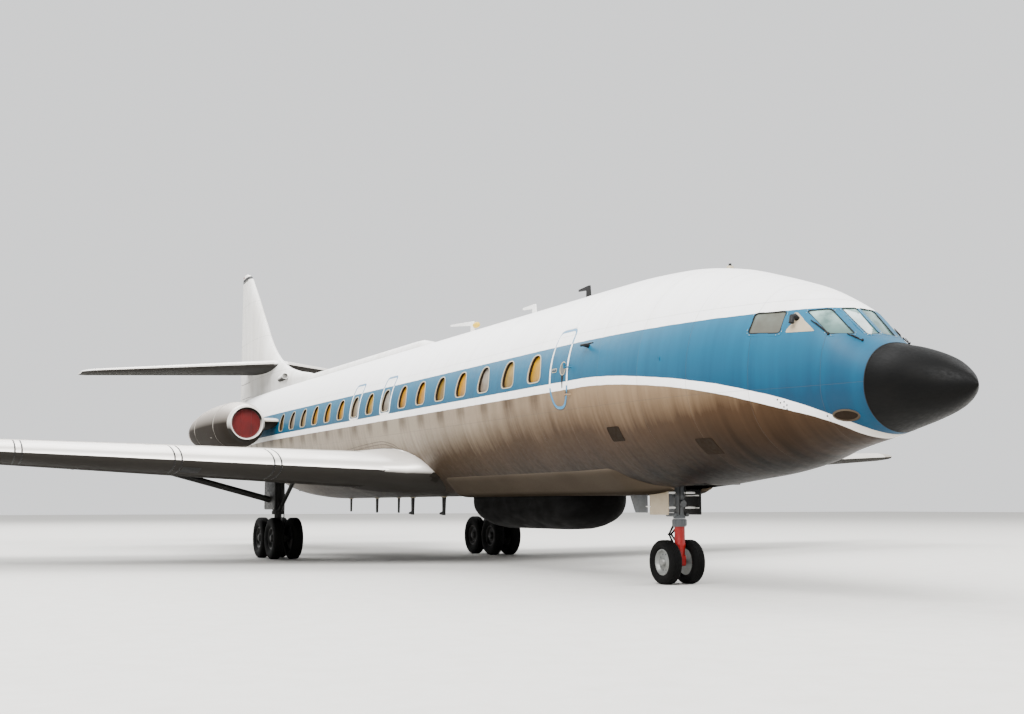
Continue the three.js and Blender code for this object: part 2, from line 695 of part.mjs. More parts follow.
// Tailplane
const tailZ = (x) => lerp(TAIL_ROOT_Z, TAIL_TIP_Z, x / TAIL_SECTIONS.at(-1)[0]);
const tailRings = (grow) =>
  TAIL_SECTIONS.map(([x, lead, chord, share]) =>
    flatRing(x, lead - grow, chord + 2 * grow, share * (1 + 0.003 * grow), tailZ(x), 0),
  );
const tailHalf = loft(tailRings(0));
const elevatorEnds = ELEVATOR_SPAN.map((x) => onChord(TAIL_SECTIONS, x, TAIL_HINGE_SHARE, tailZ));
const elevatorCut = controlSurface(tailHalf, { points: elevatorEnds, up: skyward });
const tailplane = elevatorCut.host.add(mirrored(elevatorCut.host));
put(airliner, "tailplane", tailplane, "white");
putPair("elevator", elevatorCut.surface, "white");

// Fin and rudder
const finWhole = loft(FIN_SECTIONS.map(uprightRing));
const finHalf = (station, z) => {
  const row = FIN_SECTIONS.findIndex(([height]) => height >= z);
  const [a, b] = [FIN_SECTIONS[row - 1], FIN_SECTIONS[row]];
  const t = (z - a[0]) / (b[0] - a[0]);
  const [lead, trail, thick] = [1, 2, 3].map((column) => lerp(a[column], b[column], t));
  return thick * halfThickness((station - lead) / (trail - lead));
};
const hingeAtHeight = (z) => {
  const [low, high] = [FIN_HINGE.low, FIN_HINGE.high];
  return lerp(low[0], high[0], (z - low[1]) / (high[1] - low[1]));
};
const RUDDER_REACH = 500; // the hinge line is drawn on past each end, and cut level there
// The hinge line leans aft, so a turned rudder rises and its nose dips: gaps in clearances.
const RUDDER_GAPS = { lower: 2, upper: 5 };
let fin = finWhole;
const rudders = {};
for (const [name, low, high] of RUDDERS) {
  const onHinge = (z, sampled = z) => ({
    place: point(0, hingeAtHeight(z), z),
    thick: finHalf(hingeAtHeight(sampled), sampled),
  });
  const steps = Array.from({ length: 9 }, (_, i) => lerp(low, high, i / 8));
  const points = [
    onHinge(low - RUDDER_REACH, low),
    ...steps.map((z) => onHinge(z)),
    onHinge(high + RUDDER_REACH, high),
  ];
  const region = (gap) =>
    block([-400, 29000, low + gap * RUDDER_GAPS.lower], [400, 31900, high - gap * RUDDER_GAPS.upper]);
  const ends = [onHinge(low), onHinge(high)];
  const cut = controlSurface(fin, { points, up: sideways }, { region, ends });
  fin = cut.host;
  rudders[name] = cut.surface;
}
rudders.rudder_lower = rudders.rudder_lower.subtract(bodyLength(REAR_END, LENGTH, CLEARANCE));
const spine = loft(
  [SPINE.start, SPINE.start + 900, SPINE.end].map((station, i) => {
    const top = i === 0 ? BODY_AXIS_Z + BODY_RADIUS + 10 : SPINE.top;
    const low = BODY_AXIS_Z + BODY_RADIUS - 60;
    return [
      point(-SPINE.half, station, low),
      point(-SPINE.half, station, lerp(low, top, 0.5)),
      point(-SPINE.half * 0.45, station, top),
      point(SPINE.half * 0.45, station, top),
      point(SPINE.half, station, lerp(low, top, 0.5)),
      point(SPINE.half, station, low),
    ];
  }),
);
const tailCutter = loft(tailRings(1));
// The cooling intake on the starboard side of the fin's foot, open to the front.
const scoopAt = (station, out) => point(-SCOOP.x - out, station, SCOOP.z);
const scoop = rod(scoopAt(SCOOP.start, 0), scoopAt(SCOOP.end, -150), SCOOP.radius, 40).subtract(
  rod(scoopAt(SCOOP.start - 1, 0), scoopAt(SCOOP.start + 160, 0), SCOOP.radius - 18),
);
put(
  airliner,
  "fin",
  join(fin, spine, scoop).subtract(bodyCutter).subtract(tailCutter.add(mirrored(tailCutter))),
  "white",
);
for (const [name, body] of Object.entries(rudders)) put(airliner, name, body, "white");

// Engines
const alongNacelle = (rows) => rows.map(([aft, radius]) => [yAt(NACELLE.start + aft), radius]);
const atNacelle = (rows) =>
  turned(alongNacelle(rows), NACELLE_SIDES, "y").translate([NACELLE.x, 0, NACELLE.z]);
const nacelle = atNacelle([...NACELLE_OUTSIDE, ...NACELLE_INSIDE, NACELLE_OUTSIDE[0]]);
const nacelleFull = atNacelle([
  [0, 0],
  ...NACELLE_OUTSIDE.map(([aft, r]) => [aft, r + SEAM]),
  [NACELLE.end, 0],
]);
const intakeCover = atNacelle([
  [100, 0],
  [100, NACELLE.throat - SEAM],
  [240, NACELLE.throat - SEAM],
  [240, 0],
]);
// The engine fills the duct and tapers with it behind the shoulder.
const engineEnd = lerp(NACELLE.duct, 455, (ENGINE.end - ENGINE.shoulder) / 800) - SEAM;
const engineBlock = atNacelle([
  [ENGINE.start, 0],
  [ENGINE.start, NACELLE.duct - SEAM],
  [ENGINE.shoulder, NACELLE.duct - SEAM],
  [ENGINE.end, engineEnd],
  [ENGINE.end, 0],
]);
const nozzleInside = NOZZLE_OUTSIDE.map(([aft, r]) => [aft, r - NOZZLE_WALL]).reverse();
const nozzleWall = [...NOZZLE_OUTSIDE, ...nozzleInside, NOZZLE_OUTSIDE[0]];
const pylonRing = (x) => flatRing(x, PYLON.start, PYLON.chord, PYLON.share, PYLON.z, 0);
const pylon = loft([pylonRing(1100), pylonRing(NACELLE.x)])
  .subtract(bodyCutter)
  .subtract(nacelleFull);
putPair("nacelle", nacelle, "aluminium");
putPair("engine", engineBlock, "steel");
putPair("intake_cover", intakeCover, "red");
putPair("exhaust_nozzle", atNacelle(nozzleWall), "steel");
putPair("pylon", pylon, "aluminium");

// Belly
const fairingRing = (station, half, bottom) => [
  point(-half, station, BELLY_FAIRING.top),
  point(half, station, BELLY_FAIRING.top),
  point(half, station, BELLY_FAIRING.top - 60),
  point(half * 0.62, station, bottom),
  point(-half * 0.62, station, bottom),
  point(-half, station, BELLY_FAIRING.top - 60),
];
const { start: fairStart, end: fairEnd, half: fairHalf, bottom: fairBottom } = BELLY_FAIRING;
const fairing = loft([
  fairingRing(fairStart, fairHalf * 0.55, fairBottom + 60),
  fairingRing(fairStart + 700, fairHalf, fairBottom),
  fairingRing(fairEnd - 900, fairHalf, fairBottom),
  fairingRing(fairEnd, fairHalf * 0.6, fairBottom + 60),
]);
put(airliner, "belly_fairing", fairing.subtract(bodyCutter).subtract(noseBay), "aluminium");

// Outline of the canoe radome: share of its length, share of its half width, share of its depth.
const CANOE_RINGS = [
  [0, 0.34, 0.2],
  [0.012, 0.62, 0.5],
  [0.04, 0.84, 0.78],
  [0.09, 0.96, 0.94],
  [0.17, 1, 1],
  [0.78, 1, 1],
  [0.9, 0.95, 0.84],
  [0.97, 0.72, 0.55],
  [1, 0.3, 0.25],
];
const canoeTop = fairBottom - SEAM;
const canoeRing = ([along, wide, deep]) =>
  Array.from({ length: 17 }, (_, i) => {
    const angle = (i / 16) * Math.PI;
    const x = CANOE.half * wide * Math.cos(angle);
    const drop = (canoeTop - CANOE.bottom) * deep * Math.sin(angle) ** 0.6;
    return point(x, lerp(CANOE.start, CANOE.end, along), canoeTop - drop);
  });
put(airliner, "belly_radome", loft(CANOE_RINGS.map(canoeRing)), "black");

// Main gear
const bogieZ = MAIN_TYRE.radius;
const beamEnds = [-1, 1].map((end) =>
  point(gearX, MAIN_GEAR_STATION + end * (BOGIE_AXLES / 2 + 70), bogieZ),
);
const axleStations = [-1, 1].map((end) => MAIN_GEAR_STATION + (end * BOGIE_AXLES) / 2);
const axleBore = boreFor(MAIN_AXLE_RADIUS, AXLE_SIDES);
const bogie = axleStations.reduce(
  (beam, station) => beam.subtract(axleRod(gearX, station, bogieZ, 300, axleBore)),
  rod(beamEnds[0], beamEnds[1], BEAM_RADIUS, BEAM_RADIUS, 16),
);
const beamCutter = rod(beamEnds[0], beamEnds[1], BEAM_RADIUS + SEAM, BEAM_RADIUS + SEAM, 16);
const legSaddle = block(
  [gearX - 75, MAIN_GEAR_STATION - 150, bogieZ - 10],
  [gearX + 75, MAIN_GEAR_STATION + 150, bogieZ + 190],
);
putPair("main_gear_leg", mainLeg.add(legSaddle).subtract(beamCutter), "steel");
putPair("bogie_beam", bogie, "steel");
const gearDoor = block(
  [gearX + 170, MAIN_GEAR_STATION - 420, 1060],
  [gearX + 200, MAIN_GEAR_STATION + 420, 1690],
);
const doorArm = block(
  [gearX + 100, MAIN_GEAR_STATION - 60, 1180],
  [gearX + 180, MAIN_GEAR_STATION + 60, 1260],
);
putPair(
  "main_gear_door",
  gearDoor.add(doorArm).subtract(legParts(SEAM)),
  "aluminium",
);
for (const [side, sign] of [["starboard", -1], ["port", 1]]) {
  for (const [end, step] of [["front", -1], ["rear", 1]]) {
    const station = MAIN_GEAR_STATION + (step * BOGIE_AXLES) / 2;
    const name = `main_axle_${side}_${end}`;
    twinWheels(airliner, name, MAIN_TYRE, MAIN_TWIN, MAIN_AXLE_RADIUS, station, sign * gearX, bogieZ);
  }
}

// Nose gear
const noseAxleZ = NOSE_TYRE.radius;
const noseLegStation = NOSE_GEAR_STATION - NOSE_TRAIL;
const noseLine = (z) => point(0, noseLegStation, z);
const onNoseLine = (low, high, radius) =>
  rod(noseLine(low), noseLine(high), radius, radius, PISTON_SIDES);
const noseLeg = onNoseLine(STEER_PLANE_Z + 5, 1750 - SEAM, NOSE_LEG_RADIUS);
const pistonBore = onNoseLine(
  STEER_PLANE_Z,
  PISTON_TOP + 5,
  boreFor(PISTON_RADIUS, PISTON_SIDES),
);
put(airliner, "nose_gear_leg", noseLeg.subtract(pistonBore), "grey");
const noseHub = block(
  [-62, noseLegStation - 65, noseAxleZ - 60],
  [62, NOSE_GEAR_STATION + 65, noseAxleZ + 115],
);
const noseBore = axleRod(
  0,
  NOSE_GEAR_STATION,
  noseAxleZ,
  200,
  boreFor(NOSE_AXLE_RADIUS, AXLE_SIDES),
);
// The torque link behind the leg: distance behind the leg's line, height.
const TORQUE_LINK = [
  [60, 885],
  [250, 715],
  [60, 520],
];
const linkPoints = TORQUE_LINK.map(([aft, z]) => point(0, noseLegStation + aft, z));
const noseFork = join(
  onNoseLine(noseAxleZ + 60, PISTON_TOP, PISTON_RADIUS),
  onNoseLine(noseAxleZ + 100, STEER_PLANE_Z - 105, NOSE_LEG_RADIUS),
  onNoseLine(STEER_PLANE_Z - 110, STEER_PLANE_Z, NOSE_COLLAR_RADIUS),
  rod(linkPoints[0], linkPoints[1], 18),
  rod(linkPoints[1], linkPoints[2], 18),
  noseHub,
).subtract(noseBore);
put(airliner, "nose_gear_fork", noseFork, "red");
twinWheels(
  airliner,
  "nose_axle",
  NOSE_TYRE,
  NOSE_TWIN,
  NOSE_AXLE_RADIUS,
  NOSE_GEAR_STATION,
  0,
  noseAxleZ,
);
// A door of the nose gear bay on the port side: a square plate beside the leg, a smaller panel
// with a slanted rear edge behind it, the bars between the two and the arms to the leg.
const rearPanelRing = (x) => [
  point(x, 6150, 1030),
  point(x, 6150, 1330),
  point(x, 6650, 1330),
  point(x, 6480, 1030),
];
const doorX = [NOSE_DOOR.x - NOSE_DOOR.thick / 2, NOSE_DOOR.x + NOSE_DOOR.thick / 2];
const doorArms = NOSE_DOOR.arms.map((z) =>
  rod(point(0, noseLegStation, z), point(NOSE_DOOR.x, noseLegStation, z), 16),
);
const doorBars = NOSE_DOOR.bars.map((z) =>
  block([doorX[0], NOSE_DOOR.end - 5, z - 15], [doorX[1], 6155, z + 15]),
);
const noseDoor = join(
  block([doorX[0], NOSE_DOOR.start, 1000], [doorX[1], NOSE_DOOR.end, 1370]),
  loft(doorX.map(rearPanelRing)),
  ...doorBars,
  ...doorArms,
).subtract(onNoseLine(900, 1700, NOSE_LEG_RADIUS + SEAM));
putPair("nose_gear_door", noseDoor, "aluminium");

export default airliner;
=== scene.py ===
import logging
import math
from bisect import bisect_right
from dataclasses import dataclass, field
from enum import Enum
from functools import partial
from typing import Callable, Iterable, Optional, Sequence

import bmesh
import bpy
from bpy.types import Material, Node, NodeSocket, NodeTree, Object
from mathutils import Matrix, Vector


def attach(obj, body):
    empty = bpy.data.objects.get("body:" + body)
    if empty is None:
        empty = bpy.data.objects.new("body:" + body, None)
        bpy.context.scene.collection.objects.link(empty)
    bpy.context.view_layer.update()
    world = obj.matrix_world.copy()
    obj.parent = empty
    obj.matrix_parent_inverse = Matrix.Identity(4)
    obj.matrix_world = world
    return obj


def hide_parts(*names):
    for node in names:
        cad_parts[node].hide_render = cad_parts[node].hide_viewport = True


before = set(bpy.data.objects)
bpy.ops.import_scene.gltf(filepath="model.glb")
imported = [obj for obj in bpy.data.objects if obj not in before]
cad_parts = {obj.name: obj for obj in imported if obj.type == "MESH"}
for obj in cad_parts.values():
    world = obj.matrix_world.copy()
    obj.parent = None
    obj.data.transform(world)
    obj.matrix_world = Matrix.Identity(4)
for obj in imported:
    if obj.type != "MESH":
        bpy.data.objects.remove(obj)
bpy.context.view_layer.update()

LOG = logging.getLogger("airliner")
LENGTH = 32.01
SEAM_PITCH = 0.921  # windows stand one frame bay apart, and so do the skin's ring seams
WINDOW_START = 7.242  # station of the ring seam in the first window's bay
CREASE = 32.0  # edges that turn by more degrees than this stay sharp
AIRFRAME = "airframe"
PORT, UP, AFT = Vector((1, 0, 0)), Vector((0, 0, 1)), Vector((0, 1, 0))
MATH, RANGE, NOISE, MIX = "ShaderNodeMath", "ShaderNodeMapRange", "ShaderNodeTexNoise", "ShaderNodeMix"
Point2 = tuple[float, float]
Triple = tuple[float, float, float]


def y_at(station: float) -> float:
    """Place along Y of a station, a distance aft of the nose tip, in metres."""
    return station - LENGTH / 2


def spot(x: float, station: float, z: float) -> Vector:
    """A place from its distance to port, its station and its height, in metres."""
    return Vector((x, y_at(station), z))


def across(place: Vector) -> Vector:
    """The mirror image of a place or direction on the other side."""
    return Vector((-place.x, place.y, place.z))


def linear(code: str) -> tuple[float, float, float, float]:
    """Turns an sRGB hex colour into linear light.

    Args:
        code: six hex digits, such as "e9e8e4".

    Returns:
        Red, green, blue and an alpha of one.
    """
    parts = [int(code[i : i + 2], 16) / 255 for i in (0, 2, 4)]
    r, g, b = (v / 12.92 if v <= 0.04045 else ((v + 0.055) / 1.055) ** 2.4 for v in parts)
    return (r, g, b, 1.0)


def put(socket: NodeSocket, value: object) -> None:
    """Links a node's input or sets it.

    Args:
        socket: the input.
        value: a socket, a value, an sRGB hex colour, or None to leave it.
    """
    if isinstance(value, NodeSocket):
        socket.id_data.links.new(value, socket)
    elif value is not None:
        socket.default_value = linear(value) if socket.type == "RGBA" else value


def add(tree: NodeTree, kind: str, *values: object, out: int | str = 0, **settings: object) -> Node | NodeSocket:
    """Adds a node with its settings and links.

    Args:
        tree: the node tree that gets it.
        kind: the node's type.
        values: what its inputs get, in the order of those that are in use; None leaves one.
        out: the output that is wanted, or -1 for the node itself.
        settings: properties of the node.

    Returns:
        The output socket, or the node.
    """
    made = tree.nodes.new(kind)
    for key, value in settings.items():
        setattr(made, key, value)
    for socket, value in zip([s for s in made.inputs if s.enabled], values):
        put(socket, value)
    if out == -1:
        return made
    return made.outputs[out] if isinstance(out, str) else [s for s in made.outputs if s.enabled][out]


def ramp(node: Node, stops: Sequence[tuple[float, str]], steps: bool = False) -> NodeSocket:
    """Sets the stops of a colour ramp.

    Args:
        node: the ramp's node.
        stops: places and sRGB hex colours.
        steps: keeps each colour up to the next stop.

    Returns:
        The colour.
    """
    band = node.color_ramp
    band.interpolation = "CONSTANT" if steps else "LINEAR"
    while len(band.elements) < len(stops):
        band.elements.new(1.0)
    for element, (place, colour) in zip(band.elements, stops):
        element.position, element.color = place, linear(colour)
    return node.outputs[0]


# Shapes


class Monotone:
    """A smooth curve through points that never swings past them."""

    def __init__(self, points: Sequence[Point2]) -> None:
        """Works out the slopes at the points, which are in order.

        Args:
            points: places and heights.
        """
        self.xs = [p[0] for p in points]
        self.ys = [p[1] for p in points]
        steps = [b - a for a, b in zip(self.xs, self.xs[1:])]
        rises = [(b - a) / h for a, b, h in zip(self.ys, self.ys[1:], steps)]
        slopes = [rises[0]]
        for h0, h1, r0, r1 in zip(steps, steps[1:], rises, rises[1:]):
            if r0 * r1 <= 0:
                slopes.append(0.0)
            else:
                w0, w1 = 2 * h1 + h0, h1 + 2 * h0
                slopes.append((w0 + w1) / (w0 / r0 + w1 / r1))
        self.slopes = [*slopes, rises[-1]]

    def __call__(self, x: float) -> float:
        """Height of the curve at x, held level past its ends.

        Args:
            x: the place.

        Returns:
            The height.
        """
        x = min(max(x, self.xs[0]), self.xs[-1])
        i = min(max(bisect_right(self.xs, x) - 1, 0), len(self.xs) - 2)
        h = self.xs[i + 1] - self.xs[i]
        t = (x - self.xs[i]) / h
        a, b = self.ys[i], self.ys[i + 1]
        m0, m1 = self.slopes[i] * h, self.slopes[i + 1] * h
        ends = a * (1 + 2 * t) * (1 - t) ** 2 + b * t * t * (3 - 2 * t)
        return ends + m0 * t * (1 - t) ** 2 + m1 * t * t * (t - 1)


def blended(rows: Sequence[Sequence[float]]) -> Callable[[float], list[float]]:
    """Curves through the columns of rows that share their first column.

    Args:
        rows: numbers, the first of which is the place.

    Returns:
        A function from a place to the other columns there.
    """
    curves = [Monotone([(row[0], row[i]) for row in rows]) for i in range(1, len(rows[0]))]
    return lambda x: [curve(x) for curve in curves]


def spread(start: float, end: float, step: float) -> list[float]:
    """Places from start to end, at most a step apart."""
    count = max(1, math.ceil((end - start) / step))
    return [start + (end - start) * i / count for i in range(count + 1)]


def rounded(corners: Sequence[Point2], radius: float, steps: int = 5, side: float = 9.0) -> list[Point2]:
    """A flat outline with its corners rounded.

    Args:
        corners: the outline's corners, in order.
        radius: length that the rounding takes off each side of a corner.
        steps: pieces in each rounding.
        side: longest straight piece, so that long sides can follow the skin.

    Returns:
        The points of the new outline.
    """
    out: list[Point2] = []
    for i, corner in enumerate(corners):
        here = Vector(corner)
        before = Vector(corners[i - 1]) - here
        after = Vector(corners[(i + 1) % len(corners)]) - here
        a = here + before.normalized() * min(radius, before.length * 0.45)
        b = here + after.normalized() * min(radius, after.length * 0.45)
        for k in range(steps + 1):
            t = k / steps
            p = a * (1 - t) ** 2 + here * 2 * t * (1 - t) + b * t * t
            out.append((p.x, p.y))
    return [p for a, b in zip(out, [*out[1:], out[0]]) for p in between(a, b, side)]


def between(a: Point2, b: Point2, side: float) -> list[Point2]:
    """Points from a up to b, at most side apart and without b itself."""
    count = max(1, math.ceil(math.dist(a, b) / side))
    return [(a[0] + (b[0] - a[0]) * i / count, a[1] + (b[1] - a[1]) * i / count) for i in range(count)]


def scaled(outline: Sequence[Point2], grow: float) -> list[Point2]:
    """An outline moved outwards by grow along its normals, or inwards where that is negative.

    Args:
        outline: the outline.
        grow: the distance.

    Returns:
        The new outline.
    """
    points = [Vector(p) for p in outline]
    pairs = list(zip(points, [*points[1:], points[0]]))
    turning = 1 if sum(a.x * b.y - b.x * a.y for a, b in pairs) > 0 else -1
    out = []
    for i, p in enumerate(points):
        along = (points[(i + 1) % len(points)] - p).normalized() + (p - points[i - 1]).normalized()
        away = Vector((along.y, -along.x)).normalized() * turning
        out.append((p.x + away.x * grow, p.y + away.y * grow))
    return out


def turns(count: int) -> list[float]:
    """Angles in equal steps round a circle."""
    return [2 * math.pi * k / count for k in range(count)]


def oval(station: float, z: float, half: float, rise: float, count: int) -> list[Point2]:
    """An oval outline round a station and height."""
    return [(station + half * math.cos(t), z + rise * math.sin(t)) for t in turns(count)]


def oblong(s0: float, s1: float, z0: float, z1: float) -> list[Point2]:
    """The four corners between two stations and two heights."""
    return [(s0, z0), (s1, z0), (s1, z1), (s0, z1)]


@dataclass
class Solid:
    """Points and faces of a mesh that is being built."""

    points: list[Vector] = field(default_factory=list)
    faces: list[tuple[int, ...]] = field(default_factory=list)

    def ring(self, points: Iterable[Vector]) -> list[int]:
        """Adds points and gives their numbers.

        Args:
            points: the points.

        Returns:
            Their numbers.
        """
        first = len(self.points)
        self.points.extend(points)
        return list(range(first, len(self.points)))

    def band(self, a: Sequence[int], b: Sequence[int]) -> None:
        """Joins two closed rings of equally many points.

        Args:
            a: numbers of the first ring.
            b: numbers of the second ring.
        """
        for i in range(len(a)):
            j = (i + 1) % len(a)
            self.faces.append((a[i], a[j], b[j], b[i]))

    def join(self, other: "Solid") -> "Solid":
        """Adds another solid's points and faces.

        Args:
            other: the other solid.

        Returns:
            This solid.
        """
        start = len(self.points)
        self.points += other.points
        self.faces += [tuple(i + start for i in face) for face in other.faces]
        return self

    def loft(self, rings: Sequence[Sequence[Vector]], ends: bool = True) -> "Solid":
        """Adds a skin through closed rings.

        Args:
            rings: rings of equally many points.
            ends: closes the first and the last ring with a flat cap.

        Returns:
            This solid.
        """
        rows = [self.ring(ring) for ring in rings]
        for a, b in zip(rows, rows[1:]):
            self.band(a, b)
        if ends:
            self.faces.append(tuple(reversed(rows[0])))
            self.faces.append(tuple(rows[-1]))
        return self

    def looped(self, rings: Sequence[Sequence[Vector]]) -> "Solid":
        """Adds a closed tube: the last ring joins the first.

        Args:
            rings: rings of equally many points.

        Returns:
            This solid.
        """
        rows = [self.ring(ring) for ring in rings]
        for a, b in zip(rows, [*rows[1:], rows[0]]):
            self.band(a, b)
        return self

    def box(self, low: Sequence[float], high: Sequence[float]) -> "Solid":
        """Adds a box between two corners, with its station given as Y.

        Args:
            low: its lowest corner.
            high: its highest corner.

        Returns:
            This solid.
        """
        (x0, y0, z0), (x1, y1, z1) = low, high
        base = [Vector((x0, y0, z0)), Vector((x1, y0, z0)), Vector((x1, y1, z0)), Vector((x0, y1, z0))]
        return self.loft([base, [p + Vector((0, 0, z1 - z0)) for p in base]])

    def slab(self, line: Sequence[Point2], x0: float, x1: float) -> "Solid":
        """Adds an upright plate between two distances to port, from stations and heights."""
        return self.loft([[spot(x, s, z) for s, z in line] for x in (x0, x1)])

    def rod(self, points: Sequence[Vector], radii: float | Sequence[float], sides: int = 16) -> "Solid":
        """Adds a round rod along a path.

        Args:
            points: the path.
            radii: one radius, or one for each point.
            sides: sides of the rod.

        Returns:
            This solid.
        """
        sizes = [radii] * len(points) if isinstance(radii, (int, float)) else list(radii)
        path = [Vector(p) for p in points]
        along = (path[1] - path[0]).normalized()
        across = along.orthogonal().normalized()
        rings = []
        for i, (p, r) in enumerate(zip(path, sizes)):
            before = path[i] - path[i - 1] if i else path[1] - path[0]
            after = path[i + 1] - path[i] if i < len(path) - 1 else before
            tangent = (before.normalized() + after.normalized()).normalized()
            across = (across - tangent * across.dot(tangent)).normalized()
            up = tangent.cross(across)
            rings.append([p + (across * math.cos(t) + up * math.sin(t)) * r for t in turns(sides)])
        return self.loft(rings)

    def rods(self, *rows: tuple[Triple, Triple, float | Point2, int]) -> "Solid":
        """Adds straight rods.

        Args:
            rows: two ends as distance to port, station and height, the radius or two, and the sides.

        Returns:
            This solid.
        """
        for start, end, radii, sides in rows:
            self.rod([spot(*start), spot(*end)], radii, sides)
        return self

    def spun(self, centre: Vector, axis: Vector, rows: Sequence[Point2], sides: int = 48) -> "Solid":
        """Adds a turned form, which closes on itself where its last row is its first.

        Args:
            centre: a place on the axis.
            axis: the axis's direction.
            rows: distances along the axis and radii.
            sides: sides of the form.

        Returns:
            This solid.
        """
        axis = axis.normalized()
        across = UP if abs(axis.z) < 0.9 else axis.orthogonal().normalized()
        up = axis.cross(across)
        rings = []
        for along, radius in rows:
            reach = max(radius, 1e-5)
            middle = centre + axis * along
            rings.append([middle + (across * math.cos(t) + up * math.sin(t)) * reach for t in turns(sides)])
        return self.looped(rings[:-1]) if rows[0] == rows[-1] else self.loft(rings)

    def flipped(self) -> "Solid":
        """Only its mirror image."""
        return Solid([across(p) for p in self.points], [face[::-1] for face in self.faces])

    def mirrored(self) -> "Solid":
        """This solid and its mirror image on the other side."""
        return Solid(list(self.points), list(self.faces)).join(self.flipped())

    def piece(self, name: str, finish: Optional[Material] = None, crease: float = CREASE) -> Object:
        """Makes an object of it, with its normals outwards.

        Args:
            name: the object's name.
            finish: its material.
            crease: edges that turn by more degrees than this stay sharp.

        Returns:
            The object.
        """
        mesh = bpy.data.meshes.new(name)
        mesh.from_pydata([tuple(p) for p in self.points], [], self.faces)
        work = bmesh.new()
        work.from_mesh(mesh)
        bmesh.ops.remove_doubles(work, verts=work.verts, dist=1e-5)
        bmesh.ops.recalc_face_normals(work, faces=work.faces)
        work.to_mesh(mesh)
        work.free()
        if finish:
            mesh.materials.append(finish)
        return smooth(linked(name, mesh), crease)


def linked(name: str, data: bpy.types.ID) -> Object:
    """A new object in the scene that shows some data.

    Args:
        name: the object's name.
        data: a mesh, light or camera.

    Returns:
        The object.
    """
    made = bpy.data.objects.new(name, data)
    bpy.context.collection.objects.link(made)
    return made


def smooth(piece: Object, crease: float = CREASE) -> Object:
    """Shades a piece smooth and keeps its sharp edges.

    Args:
        piece: the object.
        crease: edges that turn by more degrees than this stay sharp.

    Returns:
        The same object.
    """
    work = bmesh.new()
    work.from_mesh(piece.data)
    for face in work.faces:
        face.smooth = True
    for edge in work.edges:
        edge.smooth = len(edge.link_faces) == 2 and edge.calc_face_angle(0.0) < math.radians(crease)
    work.to_mesh(piece.data)
    work.free()
    return piece


def applied(piece: Object) -> Object:
    """Turns a piece and its modifiers into a plain mesh.

    Args:
        piece: the object, whose modifiers are used up.

    Returns:
        The same object.
    """
    graph = bpy.context.evaluated_depsgraph_get()
    shown = piece.evaluated_get(graph)
    mesh = bpy.data.meshes.new_from_object(shown, preserve_all_data_layers=True, depsgraph=graph)
    piece.modifiers.clear()
    piece.data = mesh
    return piece


class Cut(Enum):
    """How a second solid changes a first."""

    AWAY = "DIFFERENCE"
    COMMON = "INTERSECT"
    JOINED = "UNION"


def carve(host: Object, other: Object, how: Cut = Cut.AWAY) -> Object:
    """Cuts or joins two closed pieces.

    Args:
        host: the piece that is changed.
        other: the other piece, which is used up.
        how: what happens to the host.

    Returns:
        The host.
    """
    change = host.modifiers.new("cut", "BOOLEAN")
    change.operation, change.solver, change.object = how.value, "EXACT", other
    applied(host)
    bpy.data.objects.remove(other)
    return host


def rounded_edges(piece: Object, width: float) -> Object:
    """Bevels the sharp edges of a piece and shades it smooth.

    Args:
        piece: the piece.
        width: width of the bevel.

    Returns:
        The same piece.
    """
    change = piece.modifiers.new("edges", "BEVEL")
    change.width, change.segments = width, 2
    change.limit_method, change.angle_limit = "ANGLE", math.radians(CREASE)
    return smooth(applied(piece), 40)


# Finishes


@dataclass(frozen=True)
class Finish:
    """What all finishes share: a name, and how a material starts and ends."""

    name: str

    def start(self) -> tuple[Material, Callable, NodeSocket]:
        """Starts a material.

        Returns:
            The material, the function that adds nodes to it, and object coordinates.
        """
        made = bpy.data.materials.new(self.name)
        made.use_nodes = True
        made.node_tree.nodes.clear()
        nodes = partial(add, made.node_tree)
        return made, nodes, nodes("ShaderNodeTexCoord", out="Object")

    def end(self, made: Material, relief: Optional[tuple[float, NodeSocket]] = None, **values: object) -> Material:
        """Ends a material with its one shader.

        Args:
            made: the material.
            relief: a depth in metres and the height that it scales.
            values: what the shader's inputs get, by their names with _ for a space.

        Returns:
            The finished material.
        """
        nodes = partial(add, made.node_tree)
        shader = nodes("ShaderNodeBsdfPrincipled", out=-1)
        if relief:
            values["Normal"] = nodes("ShaderNodeBump", 1.0, relief[0], None, relief[1])
        for key, value in values.items():
            put(shader.inputs[key.replace("_", " ")], value)
        nodes("ShaderNodeOutputMaterial", shader.outputs[0], out=-1)
        return made


